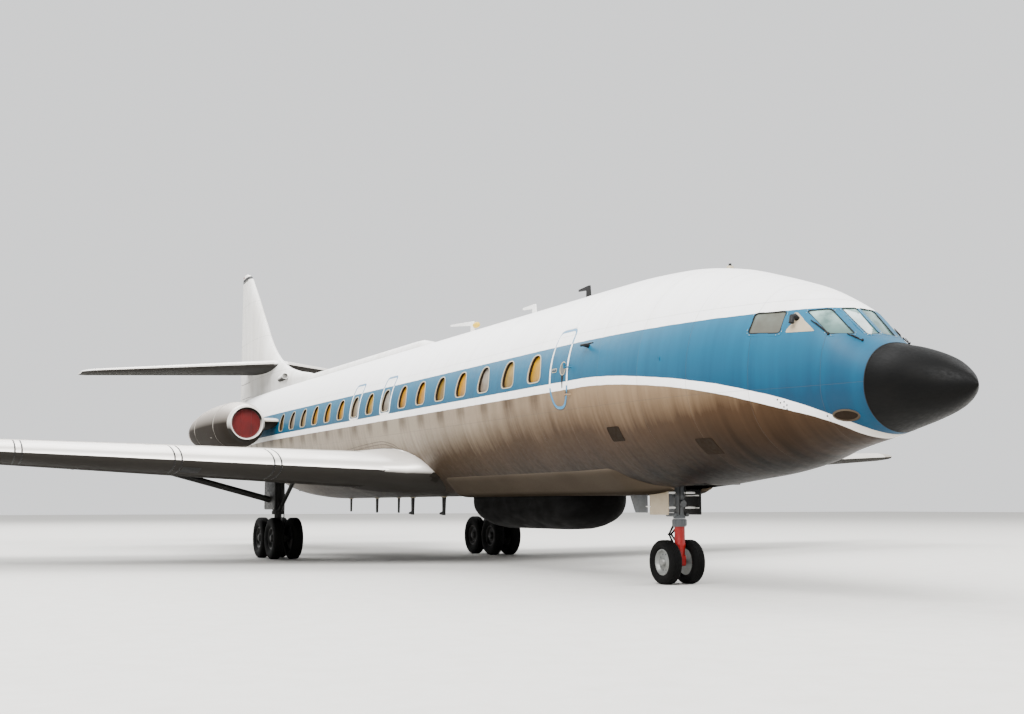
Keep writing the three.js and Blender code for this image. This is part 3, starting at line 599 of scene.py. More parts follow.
@dataclass(frozen=True)
class LiverySkin(Finish):
    """Aluminium sheet: chalky white enamel above, a blue band with a white stripe, bare metal below.

    The enamel has faded to a low gloss. The bare sheet has streaks that run down the hull; its brown is a
    painted reflection of the ground, and painted shade darkens it towards the keel. The blue band is
    painted lighter above and darker below as painted light and shade.
    """

    white: str = "faf9f8"
    # Lit and shaded tones of the blue band: painted light and shade.
    blue_high: str = "005f7e"
    blue_low: str = "003049"
    # Bare sheet tones: the forward brown is a painted reflection of the ground, and the darkest is painted shade at the
    # keel.
    bare_light: str = "816b52"
    bare_aft: str = "8d8272"
    bare_mid: str = "7d6c58"
    bare_dark: str = "1b140b"
    stripe_low: tuple[Point2, ...] = (
        (1.0, 1.66), (1.15, 1.745), (1.43, 1.915), (1.71, 2.098), (2.26, 2.281),
        (3.33, 2.566), (4.52, 2.737), (5.5, 2.806), (6.0, 2.81),
    )
    stripe_high: tuple[Point2, ...] = (
        (1.0, 1.80), (1.15, 1.885), (1.44, 2.066), (1.65, 2.175), (2.14, 2.372), (2.58, 2.509),
        (3.32, 2.681), (4.52, 2.85), (5.5, 2.925), (6.0, 2.93),
    )
    band_top: float = 3.485

    def curve(self, nodes: Callable, station: NodeSocket, points: Sequence[Point2]) -> NodeSocket:
        """A height that follows the station through points.

        Args:
            nodes: adds nodes.
            station: the station, in metres.
            points: station and height, in metres.

        Returns:
            The height.
        """
        low, high, reach = 1.6, 3.0, 6.0
        made = nodes("ShaderNodeFloatCurve", None, nodes(RANGE, station, 0.0, reach), out=-1)
        line = made.mapping.curves[0]
        places = [(s / reach, (z - low) / (high - low)) for s, z in points]
        line.points[0].location, line.points[-1].location = places[0], places[-1]
        for place in places[1:-1]:
            line.points.new(*place)
        made.mapping.update()
        return nodes(RANGE, made.outputs[0], None, None, low, high)

    def material(self) -> Material:
        """Builds the material.

        Returns:
            The finished material.
        """
        made, nodes, place = self.start()
        _, along, level = nodes("ShaderNodeSeparateXYZ", place, out=-1).outputs
        station = nodes(MATH, along, LENGTH / 2, operation="ADD")
        # Hand-masked edges of the paint waver by 6 mm and are 4 mm soft.
        z = nodes(MATH, nodes(RANGE, nodes(NOISE, place, 6.0, 2.0), None, None, -0.006, 0.006), level, operation="ADD")
        edges = []
        for edge in (self.stripe_low, self.stripe_high, self.band_top):
            height = edge if isinstance(edge, float) else self.curve(nodes, station, edge)
            edges.append(nodes(RANGE, nodes(MATH, z, height, operation="SUBTRACT"), -0.002, 0.002))
        enamel, blue, top = edges
        # Streaks as wide as a hand, drawn out down the hull.
        drawn = nodes("ShaderNodeMapping", place, None, None, (0.5, 5.0, 0.3))
        streak = nodes(NOISE, drawn, 1.6, 3.0, 0.5)
        broad = nodes(NOISE, place, 0.55, 4.0)
        # Rain stains under each window, strongest just below the stripe.
        bay = station
        steps = ("SUBTRACT", WINDOW_START), ("DIVIDE", SEAM_PITCH), ("WRAP", 1.0, 0.0), ("SUBTRACT", 0.5), ("ABSOLUTE",)
        for operation, *values in steps:
            bay = nodes(MATH, bay, *values, operation=operation)
        under = nodes(RANGE, bay, 0.24, 0.42)
        for part in (nodes(RANGE, z, 2.5, 2.72), nodes(RANGE, station, 6.6, 7.2), 0.26):
            under = nodes(MATH, under, part, operation="MULTIPLY")
        # Painted shade darkens the sheet towards the keel, from higher up at the nose than over the cabin; streaks,
        # patches and the rain stains add real grime to it.
        fore = nodes(RANGE, station, 2.5, 13.0, 2.35, 2.0)
        shade_and_grime = nodes(RANGE, nodes(MATH, fore, z, operation="SUBTRACT"), -0.5, 0.7, None, 0.95)
        veins, patch = nodes(RANGE, streak, 0.3, 0.7, -0.06, 0.09), nodes(RANGE, broad, 0.3, 0.75, -0.08, 0.1)
        for part in (veins, patch, under):
            shade_and_grime = nodes(MATH, shade_and_grime, part, operation="ADD", use_clamp=part is under)
        # The forward bare sheet's brown is a painted reflection of the ground; aft it turns grey.
        bare_tint = nodes(MIX, nodes(RANGE, station, 6.0, 13.0), self.bare_light, self.bare_aft, data_type="RGBA")
        bare = nodes("ShaderNodeValToRGB", shade_and_grime, out=-1)
        bare = ramp(bare, [(0.0, "ffffff"), (0.45, self.bare_mid), (1.0, self.bare_dark)])
        colour = nodes(MIX, 1.0, bare_tint, bare, data_type="RGBA", blend_type="MULTIPLY")
        # Painted light and shade: the blue is lighter towards its upper edge and darker towards its foot; the streaks
        # in it are real fading.
        blue_light_and_streaks = nodes(RANGE, z, 2.4, 3.5, None, 0.75)
        blue_light_and_streaks = nodes(MATH, blue_light_and_streaks, nodes(RANGE, streak, 0.3, 0.7, -0.08, 0.12), operation="ADD", use_clamp=True)
        band = nodes(MIX, blue_light_and_streaks, self.blue_low, self.blue_high, data_type="RGBA")
        white = nodes(MIX, nodes(RANGE, streak, 0.42, 0.8, None, 0.25), self.white, "d5cfc3", data_type="RGBA")
        # The stripe has peeled to a beige primer near the radome.
        stripe = nodes(MIX, nodes(RANGE, station, 1.9, 1.2, None, 0.75), white, "8a7a62", data_type="RGBA")
        # Ring seams stand a window bay apart, lap seams run along the hull; each is 5 mm wide.
        ring = nodes(MATH, bay, 0.497, operation="GREATER_THAN")
        lap = nodes(MATH, nodes(MATH, level, 1.42, 0.32, operation="WRAP"), 0.326, operation="LESS_THAN")
        seam = nodes(MATH, ring, lap, operation="MAXIMUM")
        shade = nodes(MATH, seam, 0.28, operation="MULTIPLY")
        for share, coat in ((enamel, stripe), (blue, band), (top, white), (shade, "4a4742")):
            colour = nodes(MIX, share, colour, coat, data_type="RGBA")
        relief = nodes(MATH, seam, -1.0, operation="MULTIPLY")
        relief = nodes(MATH, relief, nodes(MATH, broad, 0.8, operation="MULTIPLY"), operation="ADD")
        mottle = nodes(NOISE, place, 14.0, 5.0, 0.6)
        return self.end(
            made, (0.004, relief), Base_Color=colour, Roughness=nodes(RANGE, mottle, 0.3, 0.7, 0.42, 0.52), IOR=1.5,
            Specular_IOR_Level=nodes(RANGE, shade_and_grime, None, None, 0.3, 0.05),
            Metallic=nodes(RANGE, enamel, None, None, 0.3, 0.0),
        )


@dataclass(frozen=True)
class SheetMetal(Finish):
    """Aluminium sheet or paint on it, with faint streaks, painted shade on its undersides and panel seams."""

    light: str = "b9b4aa"
    dark: str = "6b6355"
    soot: str = "2b2218"
    metallic: float = 0.85
    low_gloss: float = 0.32
    high_gloss: float = 0.55
    streaks: tuple[float, float, float] = (4.0, 0.5, 1.0)
    stain: float = 0.6
    facing: tuple[float, float] = (-0.1, -0.7)  # how far down the surface faces where the painted shade starts and is full
    seams: Optional[tuple[int, float]] = None  # axis across the seams, pitch in metres

    def material(self) -> Material:
        """Builds the material.

        Returns:
            The finished material.
        """
        made, nodes, place = self.start()
        outward = nodes("ShaderNodeSeparateXYZ", place.node.outputs["Normal"], out=2)
        streak = nodes(NOISE, nodes("ShaderNodeMapping", place, None, None, self.streaks), 1.2, 4.0, 0.5)
        cloud = nodes(NOISE, place, 0.5, 2.0)
        stain = nodes(RANGE, streak, 0.42, 0.75, None, self.stain)
        patch = nodes(RANGE, cloud, 0.4, 0.7, None, self.stain * 0.4)
        stain = nodes(MATH, stain, patch, operation="ADD", use_clamp=True)
        # Painted shade: faces that turn downwards are darkened towards a near-black, and lose their gloss and metal.
        under = nodes(RANGE, outward, *self.facing, None, 0.97)
        colour = nodes(MIX, stain, self.light, self.dark, data_type="RGBA")
        colour = nodes(MIX, under, colour, self.soot, data_type="RGBA")
        relief = nodes(MATH, cloud, 0.6, operation="MULTIPLY")
        if self.seams:
            axis, pitch = self.seams
            along = nodes(MATH, nodes("ShaderNodeSeparateXYZ", place, out=axis), operation="ABSOLUTE")
            seam = nodes(MATH, nodes(MATH, along, pitch, operation="MODULO"), 0.008, operation="LESS_THAN")
            shade = nodes(MATH, seam, 0.45, operation="MULTIPLY")
            colour = nodes(MIX, shade, colour, "3d3a35", data_type="RGBA")
            relief = nodes(MATH, relief, seam, operation="SUBTRACT")
        fleck = nodes(MATH, nodes(NOISE, place, 60.0, 3.0), 0.4, operation="MULTIPLY")
        gloss = nodes(MATH, nodes(MATH, streak, 0.6, operation="MULTIPLY"), fleck, operation="ADD")
        gloss = nodes(RANGE, gloss, 0.3, 0.7, self.low_gloss, self.high_gloss)
        return self.end(
            made, (0.004, relief), Base_Color=colour,
            Roughness=nodes(MATH, under, 0.3, gloss, operation="MULTIPLY_ADD"),
            Specular_IOR_Level=nodes(RANGE, under, None, None, 0.4, 0.03),
            Metallic=nodes(RANGE, under, None, None, self.metallic, 0.0),
        )


@dataclass(frozen=True)
class Coating(Finish):
    """A plain coat of one colour, such as enamel, rubber or erosion coating, with scuffs and dust."""

    colour: str = "1c1c1e"
    dust: str = "4d4944"
    cover: float = 0.35
    low_gloss: float = 0.4
    high_gloss: float = 0.7
    grain: float = 25.0
    depth: float = 0.0006
    metallic: float = 0.0
    stretch: tuple[float, float, float] = (1.0, 1.0, 1.0)
    shine: float = 0.4

    def material(self) -> Material:
        """Builds the material.

        Returns:
            The finished material.
        """
        made, nodes, place = self.start()
        drawn = nodes("ShaderNodeMapping", place, None, None, self.stretch)
        dust = nodes(RANGE, nodes(NOISE, drawn, 3.0, 6.0, 0.65), 0.42, 0.75, None, self.cover)
        fine = nodes(NOISE, drawn, self.grain, 4.0)
        return self.end(
            made, (self.depth, fine), Base_Color=nodes(MIX, dust, self.colour, self.dust, data_type="RGBA"),
            Roughness=nodes(RANGE, fine, 0.3, 0.7, self.low_gloss, self.high_gloss),
            Metallic=self.metallic, Specular_IOR_Level=self.shine,
        )


@dataclass(frozen=True)
class Canvas(Finish):
    """Coated canvas in a plain weave; its threads are drawn at 12 mm so that they show."""

    colour: str = "560000"
    shadow: str = "340000"
    thread: float = 0.012

    def material(self) -> Material:
        """Builds the material.

        Returns:
            The finished material.
        """
        made, nodes, place = self.start()
        pitch = 2 * math.pi / self.thread / 20
        warp, weft = (nodes("ShaderNodeTexWave", place, pitch, out="Fac", bands_direction=way) for way in "XZ")
        fold = nodes(NOISE, place, 4.0, 4.0)
        dark = nodes(RANGE, fold, 0.35, 0.7, None, 0.6)
        threads = nodes(MATH, warp, weft, operation="MULTIPLY")
        relief = nodes(MATH, nodes(MATH, fold, 6.0, operation="MULTIPLY"), threads, operation="ADD")
        return self.end(
            made, (0.002, relief), Base_Color=nodes(MIX, dark, self.colour, self.shadow, data_type="RGBA"),
            Roughness=0.72, Sheen_Weight=0.2, Specular_IOR_Level=0.25,
        )


@dataclass(frozen=True)
class Glazing(Finish):
    """Laminated glass over a dim cabin: opaque here, with a hard gloss and a painted reflection of the pale sky that
    grows towards the top.
    """

    deep: str = "37524e"
    haze: str = "9ab8b1"
    blind: str = "4f493f"
    low: float = 3.15
    high: float = 3.5

    def material(self) -> Material:
        """Builds the material.

        Returns:
            The finished material.
        """
        made, nodes, place = self.start()
        _, along, level = nodes("ShaderNodeSeparateXYZ", place, out=-1).outputs
        # Painted reflection: the glass pales towards its top, where it would mirror the sky.
        cloud = nodes(RANGE, nodes(NOISE, place, 4.5, 4.0), 0.35, 0.65)
        haze = nodes(MATH, nodes(RANGE, level, self.low, self.high), cloud, 0.1, operation="MULTIPLY_ADD")
        haze = nodes(MATH, haze, 1.0, operation="MINIMUM")
        colour = nodes(MIX, haze, self.deep, self.haze, data_type="RGBA")
        # A pale blind is drawn behind the side panes.
        aft = nodes(RANGE, along, y_at(2.1), y_at(2.3), None, 0.85)
        colour = nodes(MIX, aft, colour, self.blind, data_type="RGBA")
        return self.end(made, Base_Color=colour, Roughness=0.06, IOR=1.52, Coat_Weight=0.6, Coat_Roughness=0.03)


@dataclass(frozen=True)
class OutlineEnamel(Finish):
    """Brushed enamel lines: white where they cross the blue band, light blue elsewhere."""

    white: str = "f0efec"
    blue: str = "24729a"
    low: float = 2.87
    high: float = 3.485

    def material(self) -> Material:
        """Builds the material.

        Returns:
            The finished material.
        """
        made, nodes, place = self.start()
        level = nodes("ShaderNodeSeparateXYZ", place, out=2)
        away = nodes(MATH, level, (self.low + self.high) / 2, operation="SUBTRACT")
        away = nodes(MATH, away, operation="ABSOLUTE")
        off = nodes(MATH, away, (self.high - self.low) / 2, operation="GREATER_THAN")
        colour = nodes(MIX, off, self.white, self.blue, data_type="RGBA")
        worn = nodes(RANGE, nodes(NOISE, place, 14.0, 5.0), 0.5, 0.75, None, 0.5)
        return self.end(made, Base_Color=nodes(MIX, worn, colour, "8d8a84", data_type="RGBA"), Roughness=0.5)


@dataclass(frozen=True)
class Blinds(Finish):
    """Drawn cloth blinds behind acrylic panes: each bay has the colour that its cloth faded to."""

    colours: tuple[str, ...] = (
        "b38300", "8e753a", "857f76", "ad7a00", "735a17", "a87400", "aa7600", "8f8a80",
        "967420", "877e6c", "aa7800", "a87400", "9a6c00", "89754f", "7a7060", "574516",
    )

    def material(self) -> Material:
        """Builds the material.

        Returns:
            The finished material.
        """
        made, nodes, place = self.start()
        _, along, level = nodes("ShaderNodeSeparateXYZ", place, out=-1).outputs
        first, count = y_at(WINDOW_START) - SEAM_PITCH / 2, len(self.colours)
        bay = nodes("ShaderNodeValToRGB", nodes(RANGE, along, first, first + SEAM_PITCH * count), out=-1)
        cloth = ramp(bay, [(i / count, c) for i, c in enumerate(self.colours)], steps=True)
        low = nodes(RANGE, level, 3.3, 3.0, None, 0.55)
        dull = nodes(RANGE, nodes(NOISE, place, 9.0, 5.0), 0.4, 0.7, None, 0.3)
        dull = nodes(MATH, dull, low, operation="ADD", use_clamp=True)
        colour = nodes(MIX, dull, cloth, "4f3a22", data_type="RGBA")
        return self.end(
            made, Base_Color=colour, Roughness=0.5, Specular_IOR_Level=0.3, Coat_Weight=0.25, Coat_Roughness=0.1
        )


class Palette:
    """All finishes of the airliner, each built once."""

    def __init__(self) -> None:
        """Builds the materials."""
        self.livery = LiverySkin("livery_enamel_on_sheet").material()
        # Each sheet finish's third colour is the painted shade on its undersides.
        # Thin white enamel over aluminium sheet, weathered to off-white with grey runs.
        self.white = SheetMetal(
            "weathered_white_enamel", "f8f6f2", "b3ab9c", "070502", 0.0, 0.4, 0.62, (1.5, 3.0, 0.4), 0.3,
            (0.25, -0.55), (2, 1.27),
        ).material()
        # Bare sheet, dull and lightly streaked along the flow, with seams across the span.
        self.alloy = SheetMetal(
            "bare_sheet_alloy", "a59e94", "857c70", "070401", 0.3, 0.42, 0.58, (2.0, 0.5, 1.0), 0.3, (0.1, -0.3),
            (0, 1.9),
        ).material()
        # Cowl sheet with faint stains; painted shade darkens it to a dark brown from its top down its sides.
        self.cowl = SheetMetal(
            "stained_cowl_alloy", "aea59b", "82776a", "140d06", 0.35, 0.35, 0.5, (1.0, 0.5, 1.0), 0.3, (0.75, 0.0),
            (1, 1.15),
        ).material()
        # The fairing round the canoe radome is bare sheet with baked-on mud.
        self.belly = SheetMetal(
            "muddy_belly_alloy", "5a4d3e", "42382c", "1e170e", 0.3, 0.45, 0.65, (1.0, 0.6, 1.0), 0.5, (-0.2, -0.9)
        ).material()
        # The leading edges are polished sheet, drawn lighter than the bare sheet as a painted highlight.
        self.polished = SheetMetal(
            "polished_alloy", "ddd8d1", "bfb7ac", "080401", 0.35, 0.3, 0.45, (0.6, 2.0, 2.0), 0.25, (0.1, -0.3)
        ).material()
        self.radome = Coating(
            "rain_erosion_coating", "020202", "100e0b", 0.3, 0.45, 0.6, 18.0, 0.0006, 0.0, (2.2, 0.6, 2.2), 0.09
        ).material()
        self.canoe = Coating(
            "belly_radome_coating", "010101", "060503", 0.3, 0.6, 0.85, 6.0, 0.0006, 0.0, (1.0, 0.5, 1.0), 0.05
        ).material()
        self.rubber = Coating("tyre_rubber", "030303", "12100d", 0.35, 0.7, 0.9, 40.0, 0.001, shine=0.12).material()
        self.seal = Coating(
            "black_seal_rubber", "0c0c0d", "27231e", 0.3, 0.5, 0.75, 60.0, 0.0003, shine=0.25
        ).material()
        self.grey = Coating("grey_gear_enamel", "4c4f52", "302c26", 0.6, 0.35, 0.6, 30.0, 0.0005).material()
        # The main gear is painted near-black as painted shade, for the shadow of the wing that it stands in.
        self.greasy = Coating(
            "greasy_gear_enamel", "171715", "0b0906", 0.7, 0.4, 0.7, 20.0, 0.0006, shine=0.3
        ).material()
        self.red = Coating("red_gear_enamel", "8c0402", "3d0f0a", 0.45, 0.35, 0.6, 30.0, 0.0005).material()
        self.hatch = Coating(
            "stained_hatch_alloy", "20170e", "140e08", 0.4, 0.6, 0.8, 20.0, 0.0003, shine=0.08
        ).material()
        # A dark brown lining in each window's recess, painted as the shade inside it.
        self.reveal = Coating(
            "brown_window_seal", "1d140a", "33261a", 0.4, 0.5, 0.7, 40.0, 0.0002, shine=0.2
        ).material()
        # Near-black paint for the inside of the nose gear's bay.
        self.dark = Coating("sooty_cavity_paint", "161514", "2c2822", 0.4, 0.6, 0.9, 20.0, 0.001).material()
        self.plate = Coating("beige_plate_enamel", "a3957f", "6e5f4a", 0.4, 0.4, 0.6, 30.0, 0.0004).material()
        self.rim = Coating("cast_wheel_alloy", "868886", "5a554c", 0.5, 0.35, 0.6, 35.0, 0.0006, 0.6).material()
        self.trim = Coating("window_frame_alloy", "bdb29b", "7d6e56", 0.4, 0.3, 0.5, 30.0, 0.0002, 0.35).material()
        self.chrome = Coating("chromed_piston", "d4d6d8", "9a958c", 0.2, 0.1, 0.25, 40.0, 0.0001, 1.0).material()
        self.outline = OutlineEnamel("outline_enamel").material()
        self.yellow = Coating("yellow_cap_enamel", "d8b22a", "8a6f1c", 0.3, 0.4, 0.6, 30.0, 0.0002).material()
        self.outline_white = Coating("white_outline_enamel", "f0efec", "cfcac0", 0.3, 0.4, 0.6, 30.0, 0.0002).material()
        self.burnt = Coating("heat_stained_steel", "7c6f63", "3a322b", 0.6, 0.3, 0.5, 22.0, 0.0004, 0.9).material()
        self.canvas = Canvas("red_cover_canvas").material()
        self.glass = Glazing("cockpit_glass").material()
        self.blinds = Blinds("faded_cloth_blinds").material()


# The fuselage's surface


class Skin:
    """The fuselage's outer surface: smooth frames whose upper half may be squarer than an ellipse."""

    FRAMES: tuple[tuple[float, ...], ...] = (
        (0, 2430, 2403, 2415, 8, 2), (40, 2496, 2359, 2416, 50, 2), (160, 2607, 2264, 2419, 173, 2),
        (400, 2757, 2150, 2425, 340, 2.1), (800, 2904, 2040, 2450, 490, 2.1), (1150, 2995, 1961, 2472, 548, 2.15),
        (1400, 3115, 1905, 2488, 610, 2.4), (1850, 3508, 1825, 2517, 740, 2.6), (2250, 3734, 1745, 2560, 880, 2.5),
        (2600, 3895, 1650, 2600, 1030, 2.4), (3000, 4037, 1575, 2648, 1170, 2.25), (3400, 4164, 1521, 2696, 1290, 2.15),
        (4000, 4335, 1467, 2770, 1414, 2.05), (4900, 4475, 1388, 2860, 1525, 2), (6000, 4520, 1332, 2915, 1586, 2),
        (7300, 4522, 1322, 2922, 1600, 2), (12900, 4522, 1322, 2922, 1600, 2), (20400, 4522, 1322, 2922, 1600, 2),
        (22400, 4522, 1405, 2965, 1570, 2), (24400, 4522, 1700, 3110, 1455, 2), (26400, 4522, 2210, 3370, 1225, 2),
        (28500, 4520, 2840, 3680, 895, 2), (30300, 4505, 3440, 3975, 560, 2), (31500, 4450, 3860, 4155, 300, 2),
        (32010, 4360, 4080, 4220, 140, 2),
    )
    SIDES = 112

    def __init__(self) -> None:
        """Lays smooth curves through the frames."""
        self.at = blended([[v / 1000 for v in row[:5]] + [row[5]] for row in self.FRAMES])

    def ring(self, station: float, grow: float = 0.0, sides: int = SIDES) -> list[Vector]:
        """Points round one frame.

        Args:
            station: the frame's station.
            grow: distance outside the skin.
            sides: number of points.

        Returns:
            The points.
        """
        top, bottom, widest, half, full = self.at(station)
        out = []
        for i in range(sides):
            angle = 2 * math.pi * i / sides
            sine, cosine = math.sin(angle), math.cos(angle)
            power = 2 / full if cosine > 1e-9 else 1.0
            rise = (top - widest if cosine > 0 else widest - bottom) + grow
            x = (half + grow) * math.copysign(abs(sine) ** power, sine)
            out.append(Vector((x, y_at(station), widest + rise * math.copysign(abs(cosine) ** power, cosine))))
        return out

    def level(self, place: Vector, grow: float = 0.0) -> float:
        """Below one inside the skin, above one outside it.

        Args:
            place: the place.
            grow: height of the level above the skin.

        Returns:
            The level.
        """
        top, bottom, widest, half, full = self.at(place.y + LENGTH / 2)
        upper = place.z > widest
        rise = (top - widest if upper else widest - bottom) + grow
        power = full if upper else 2.0
        return (abs(place.x) / (half + grow)) ** power + (abs(place.z - widest) / rise) ** power

    def drop(self, place: Vector, inwards: Vector, grow: float = 0.0, reach: float = 0.6) -> Vector:
        """Moves a place onto the skin.

        Args:
            place: a place near the skin.
            inwards: the direction to move in.
            grow: distance outside the skin.
            reach: how far out and in it is looked for.

        Returns:
            The place on the skin.
        """
        out, into = place - inwards * reach, place + inwards * reach
        for _ in range(26):
            middle = (out + into) / 2
            if self.level(middle, grow) > 1:
                out = middle
            else:
                into = middle
        return (out + into) / 2

    def beside(self, station: float, z: float, side: float, grow: float = 0.0) -> Vector:
        """The place on one side of the skin at a station and height.

        Args:
            station: the station.
            z: the height.
            side: sign of X.
            grow: height above the skin.

        Returns:
            The place.
        """
        top, bottom, widest, half, full = self.at(station)
        rise = (top - widest if z > widest else widest - bottom) + grow
        power = full if z > widest else 2.0
        share = min(abs(z - widest) / rise, 0.9999)
        return Vector((side * (half + grow) * (1 - share**power) ** (1 / power), y_at(station), z))

    def below(self, x: float, station: float, grow: float = 0.0) -> Vector:
        """The place on the belly at a distance from the centre plane and a station.

        Args:
            x: distance to port.
            station: the station.
            grow: height above the skin.

        Returns:
            The place.
        """
        _, bottom, widest, half, _ = self.at(station)
        share = min(abs(x) / (half + grow), 0.9999)
        return Vector((x, y_at(station), widest - (widest - bottom + grow) * math.sqrt(1 - share * share)))

    def outward(self, station: float, z: float, side: float, grow: float = 0.0) -> tuple[Vector, Vector]:
        """A place on one side of the skin and the direction that faces out there."""
        here = self.beside(station, z, side, grow)
        return here, self.beside(station, z, side, 0.1) - here

    def length(self, start: float, end: float, grow: float = 0.0) -> Solid:
        """A closed length of the fuselage between two stations.

        Args:
            start: first station.
            end: last station.
            grow: distance outside the skin.

        Returns:
            The solid.
        """
        places = [start]
        while places[-1] < end - 1e-6:
            step = min(max(0.012, 0.05 * places[-1]), 0.23)
            if places[-1] > 20:
                step = 0.3
            elif places[-1] >= 7.3:
                step = 0.6
            places.append(min(end, places[-1] + step))
        return Solid().loft([self.ring(place, grow) for place in places])


class Patch:
    """A plate that lies on the skin: an outline seen from one direction, with a thickness."""

    def __init__(self, place: Callable[[Point2, float], Vector]) -> None:
        """Keeps the function from a flat point and a distance outside the skin to its place."""
        self.place = place

    def plate(self, outline: Sequence[Point2], outer: float, inner: float, rings: int = 4) -> Solid:
        """A closed plate.

        Args:
            outline: its outline.
            outer: distance of its face outside the skin.
            inner: distance of its back, less than outer.
            rings: loops of faces from the edge to the middle.

        Returns:
            The solid.
        """
        middle = tuple(sum(c) / len(outline) for c in zip(*outline))
        made = Solid()
        rims = []
        for grow, turned in ((outer, False), (inner, True)):
            loops = []
            for k in range(rings):
                share = 1 - k / rings
                flat = [tuple(m + (c - m) * share for c, m in zip(p, middle)) for p in outline]
                loops.append(made.ring(self.place(p, grow) for p in flat))
            centre = made.ring([self.place(middle, grow)])[0]
            for a, b in zip(loops, loops[1:]):
                made.band(*((b, a) if turned else (a, b)))
            for a, b in zip(loops[-1], loops[-1][1:] + loops[-1][:1]):
                made.faces.append((b, a, centre) if turned else (a, b, centre))
            rims.append(loops[0])
        made.band(rims[1], rims[0])
        return made

    def frame(self, outside: Sequence[Point2], inside: Sequence[Point2], outer: float, inner: float) -> Solid:
        """A closed ring between two outlines with equally many points."""
        loops = [(outside, inner), (outside, outer), (inside, outer), (inside, inner)]
        return Solid().looped([[self.place(p, grow) for p in line] for line, grow in loops])


def side_patch(skin: Skin, side: float) -> Patch:
    """A patch seen from one side, whose flat points are station and height."""
    return Patch(lambda p, grow: skin.beside(p[0], p[1], side, grow))


# Sub-assemblies. All are drawn on the port side, +X, unless a place is only on one side.


class Side(Enum):
    """Sides of the aircraft, as the sign of X."""

    PORT = 1
    STARBOARD = -1

    @property
    def word(self) -> str:
        """The side's word in the names of pieces, nodes and bodies."""
        return self.name.lower()

    def turn(self, drawn: Solid) -> Solid:
        """A solid that was drawn to port, on this side."""
        return drawn if self is Side.PORT else drawn.flipped()


class Slot(Enum):
    """Material slots that the pieces' finishes belong to."""

    SKIN = "painted_skin"
    ALLOY = "bare_alloy"
    RADOME = "radome"
    STEEL = "gear_steel"
    WHEEL = "wheel_alloy"
    RED = "red_paint"
    GLASS = "glass"
    COVER = "cover"
    TYRE = "tyre"


def hand_over(piece: Object, slot: Slot, *nodes: str, body: str = AIRFRAME) -> Object:
    """Attaches a finished piece to its body and hides the CAD nodes that it replaces.

    Args:
        piece: the piece.
        slot: not used.
        nodes: CAD nodes that it replaces.
        body: the body that it rides on.

    Returns:
        The piece.
    """
    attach(piece, body)
    if nodes:
        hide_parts(*nodes)
    LOG.info("%s rides on %s with %d faces", piece.name, body, len(piece.data.polygons))
    return piece


def dress(
    drawn: Solid, name: str, finish: Material, slot: Slot, *nodes: str,
    body: str = AIRFRAME, crease: float = CREASE, edge: float = 0.0,
) -> Object:
    """Makes a finished piece of a solid and hands it over.

    Args:
        drawn: the solid.
        name: the piece's name.
        finish: its material.
        slot: the slot that its finish belongs to.
        nodes: CAD nodes that it replaces.
        body: the body that it rides on.
        crease: edges that turn by more degrees than this stay sharp.
        edge: width of the bevel on its sharp edges.

    Returns:
        The piece.
    """
    piece = drawn.piece(name, finish, crease)
    return hand_over(rounded_edges(piece, edge) if edge else piece, slot, *nodes, body=body)


def both(drawn: Solid, name: str, finish: Material, slot: Slot, node: str = "", **rest: float) -> None:
    """Dresses a solid that was drawn to port and its mirror image.

    Args:
        drawn: the solid.
        name: the pieces' name, to which the side's word is added.
        finish: their material.
        slot: the slot that their finish belongs to.
        node: the CAD node that they replace, to which the side's word is added too.
        rest: crease or edge, as in dress.
    """
    for side in Side:
        nodes = [f"{node}_{side.word}"] if node else []
        dress(side.turn(drawn), f"{name}_{side.word}", finish, slot, *nodes, **rest)


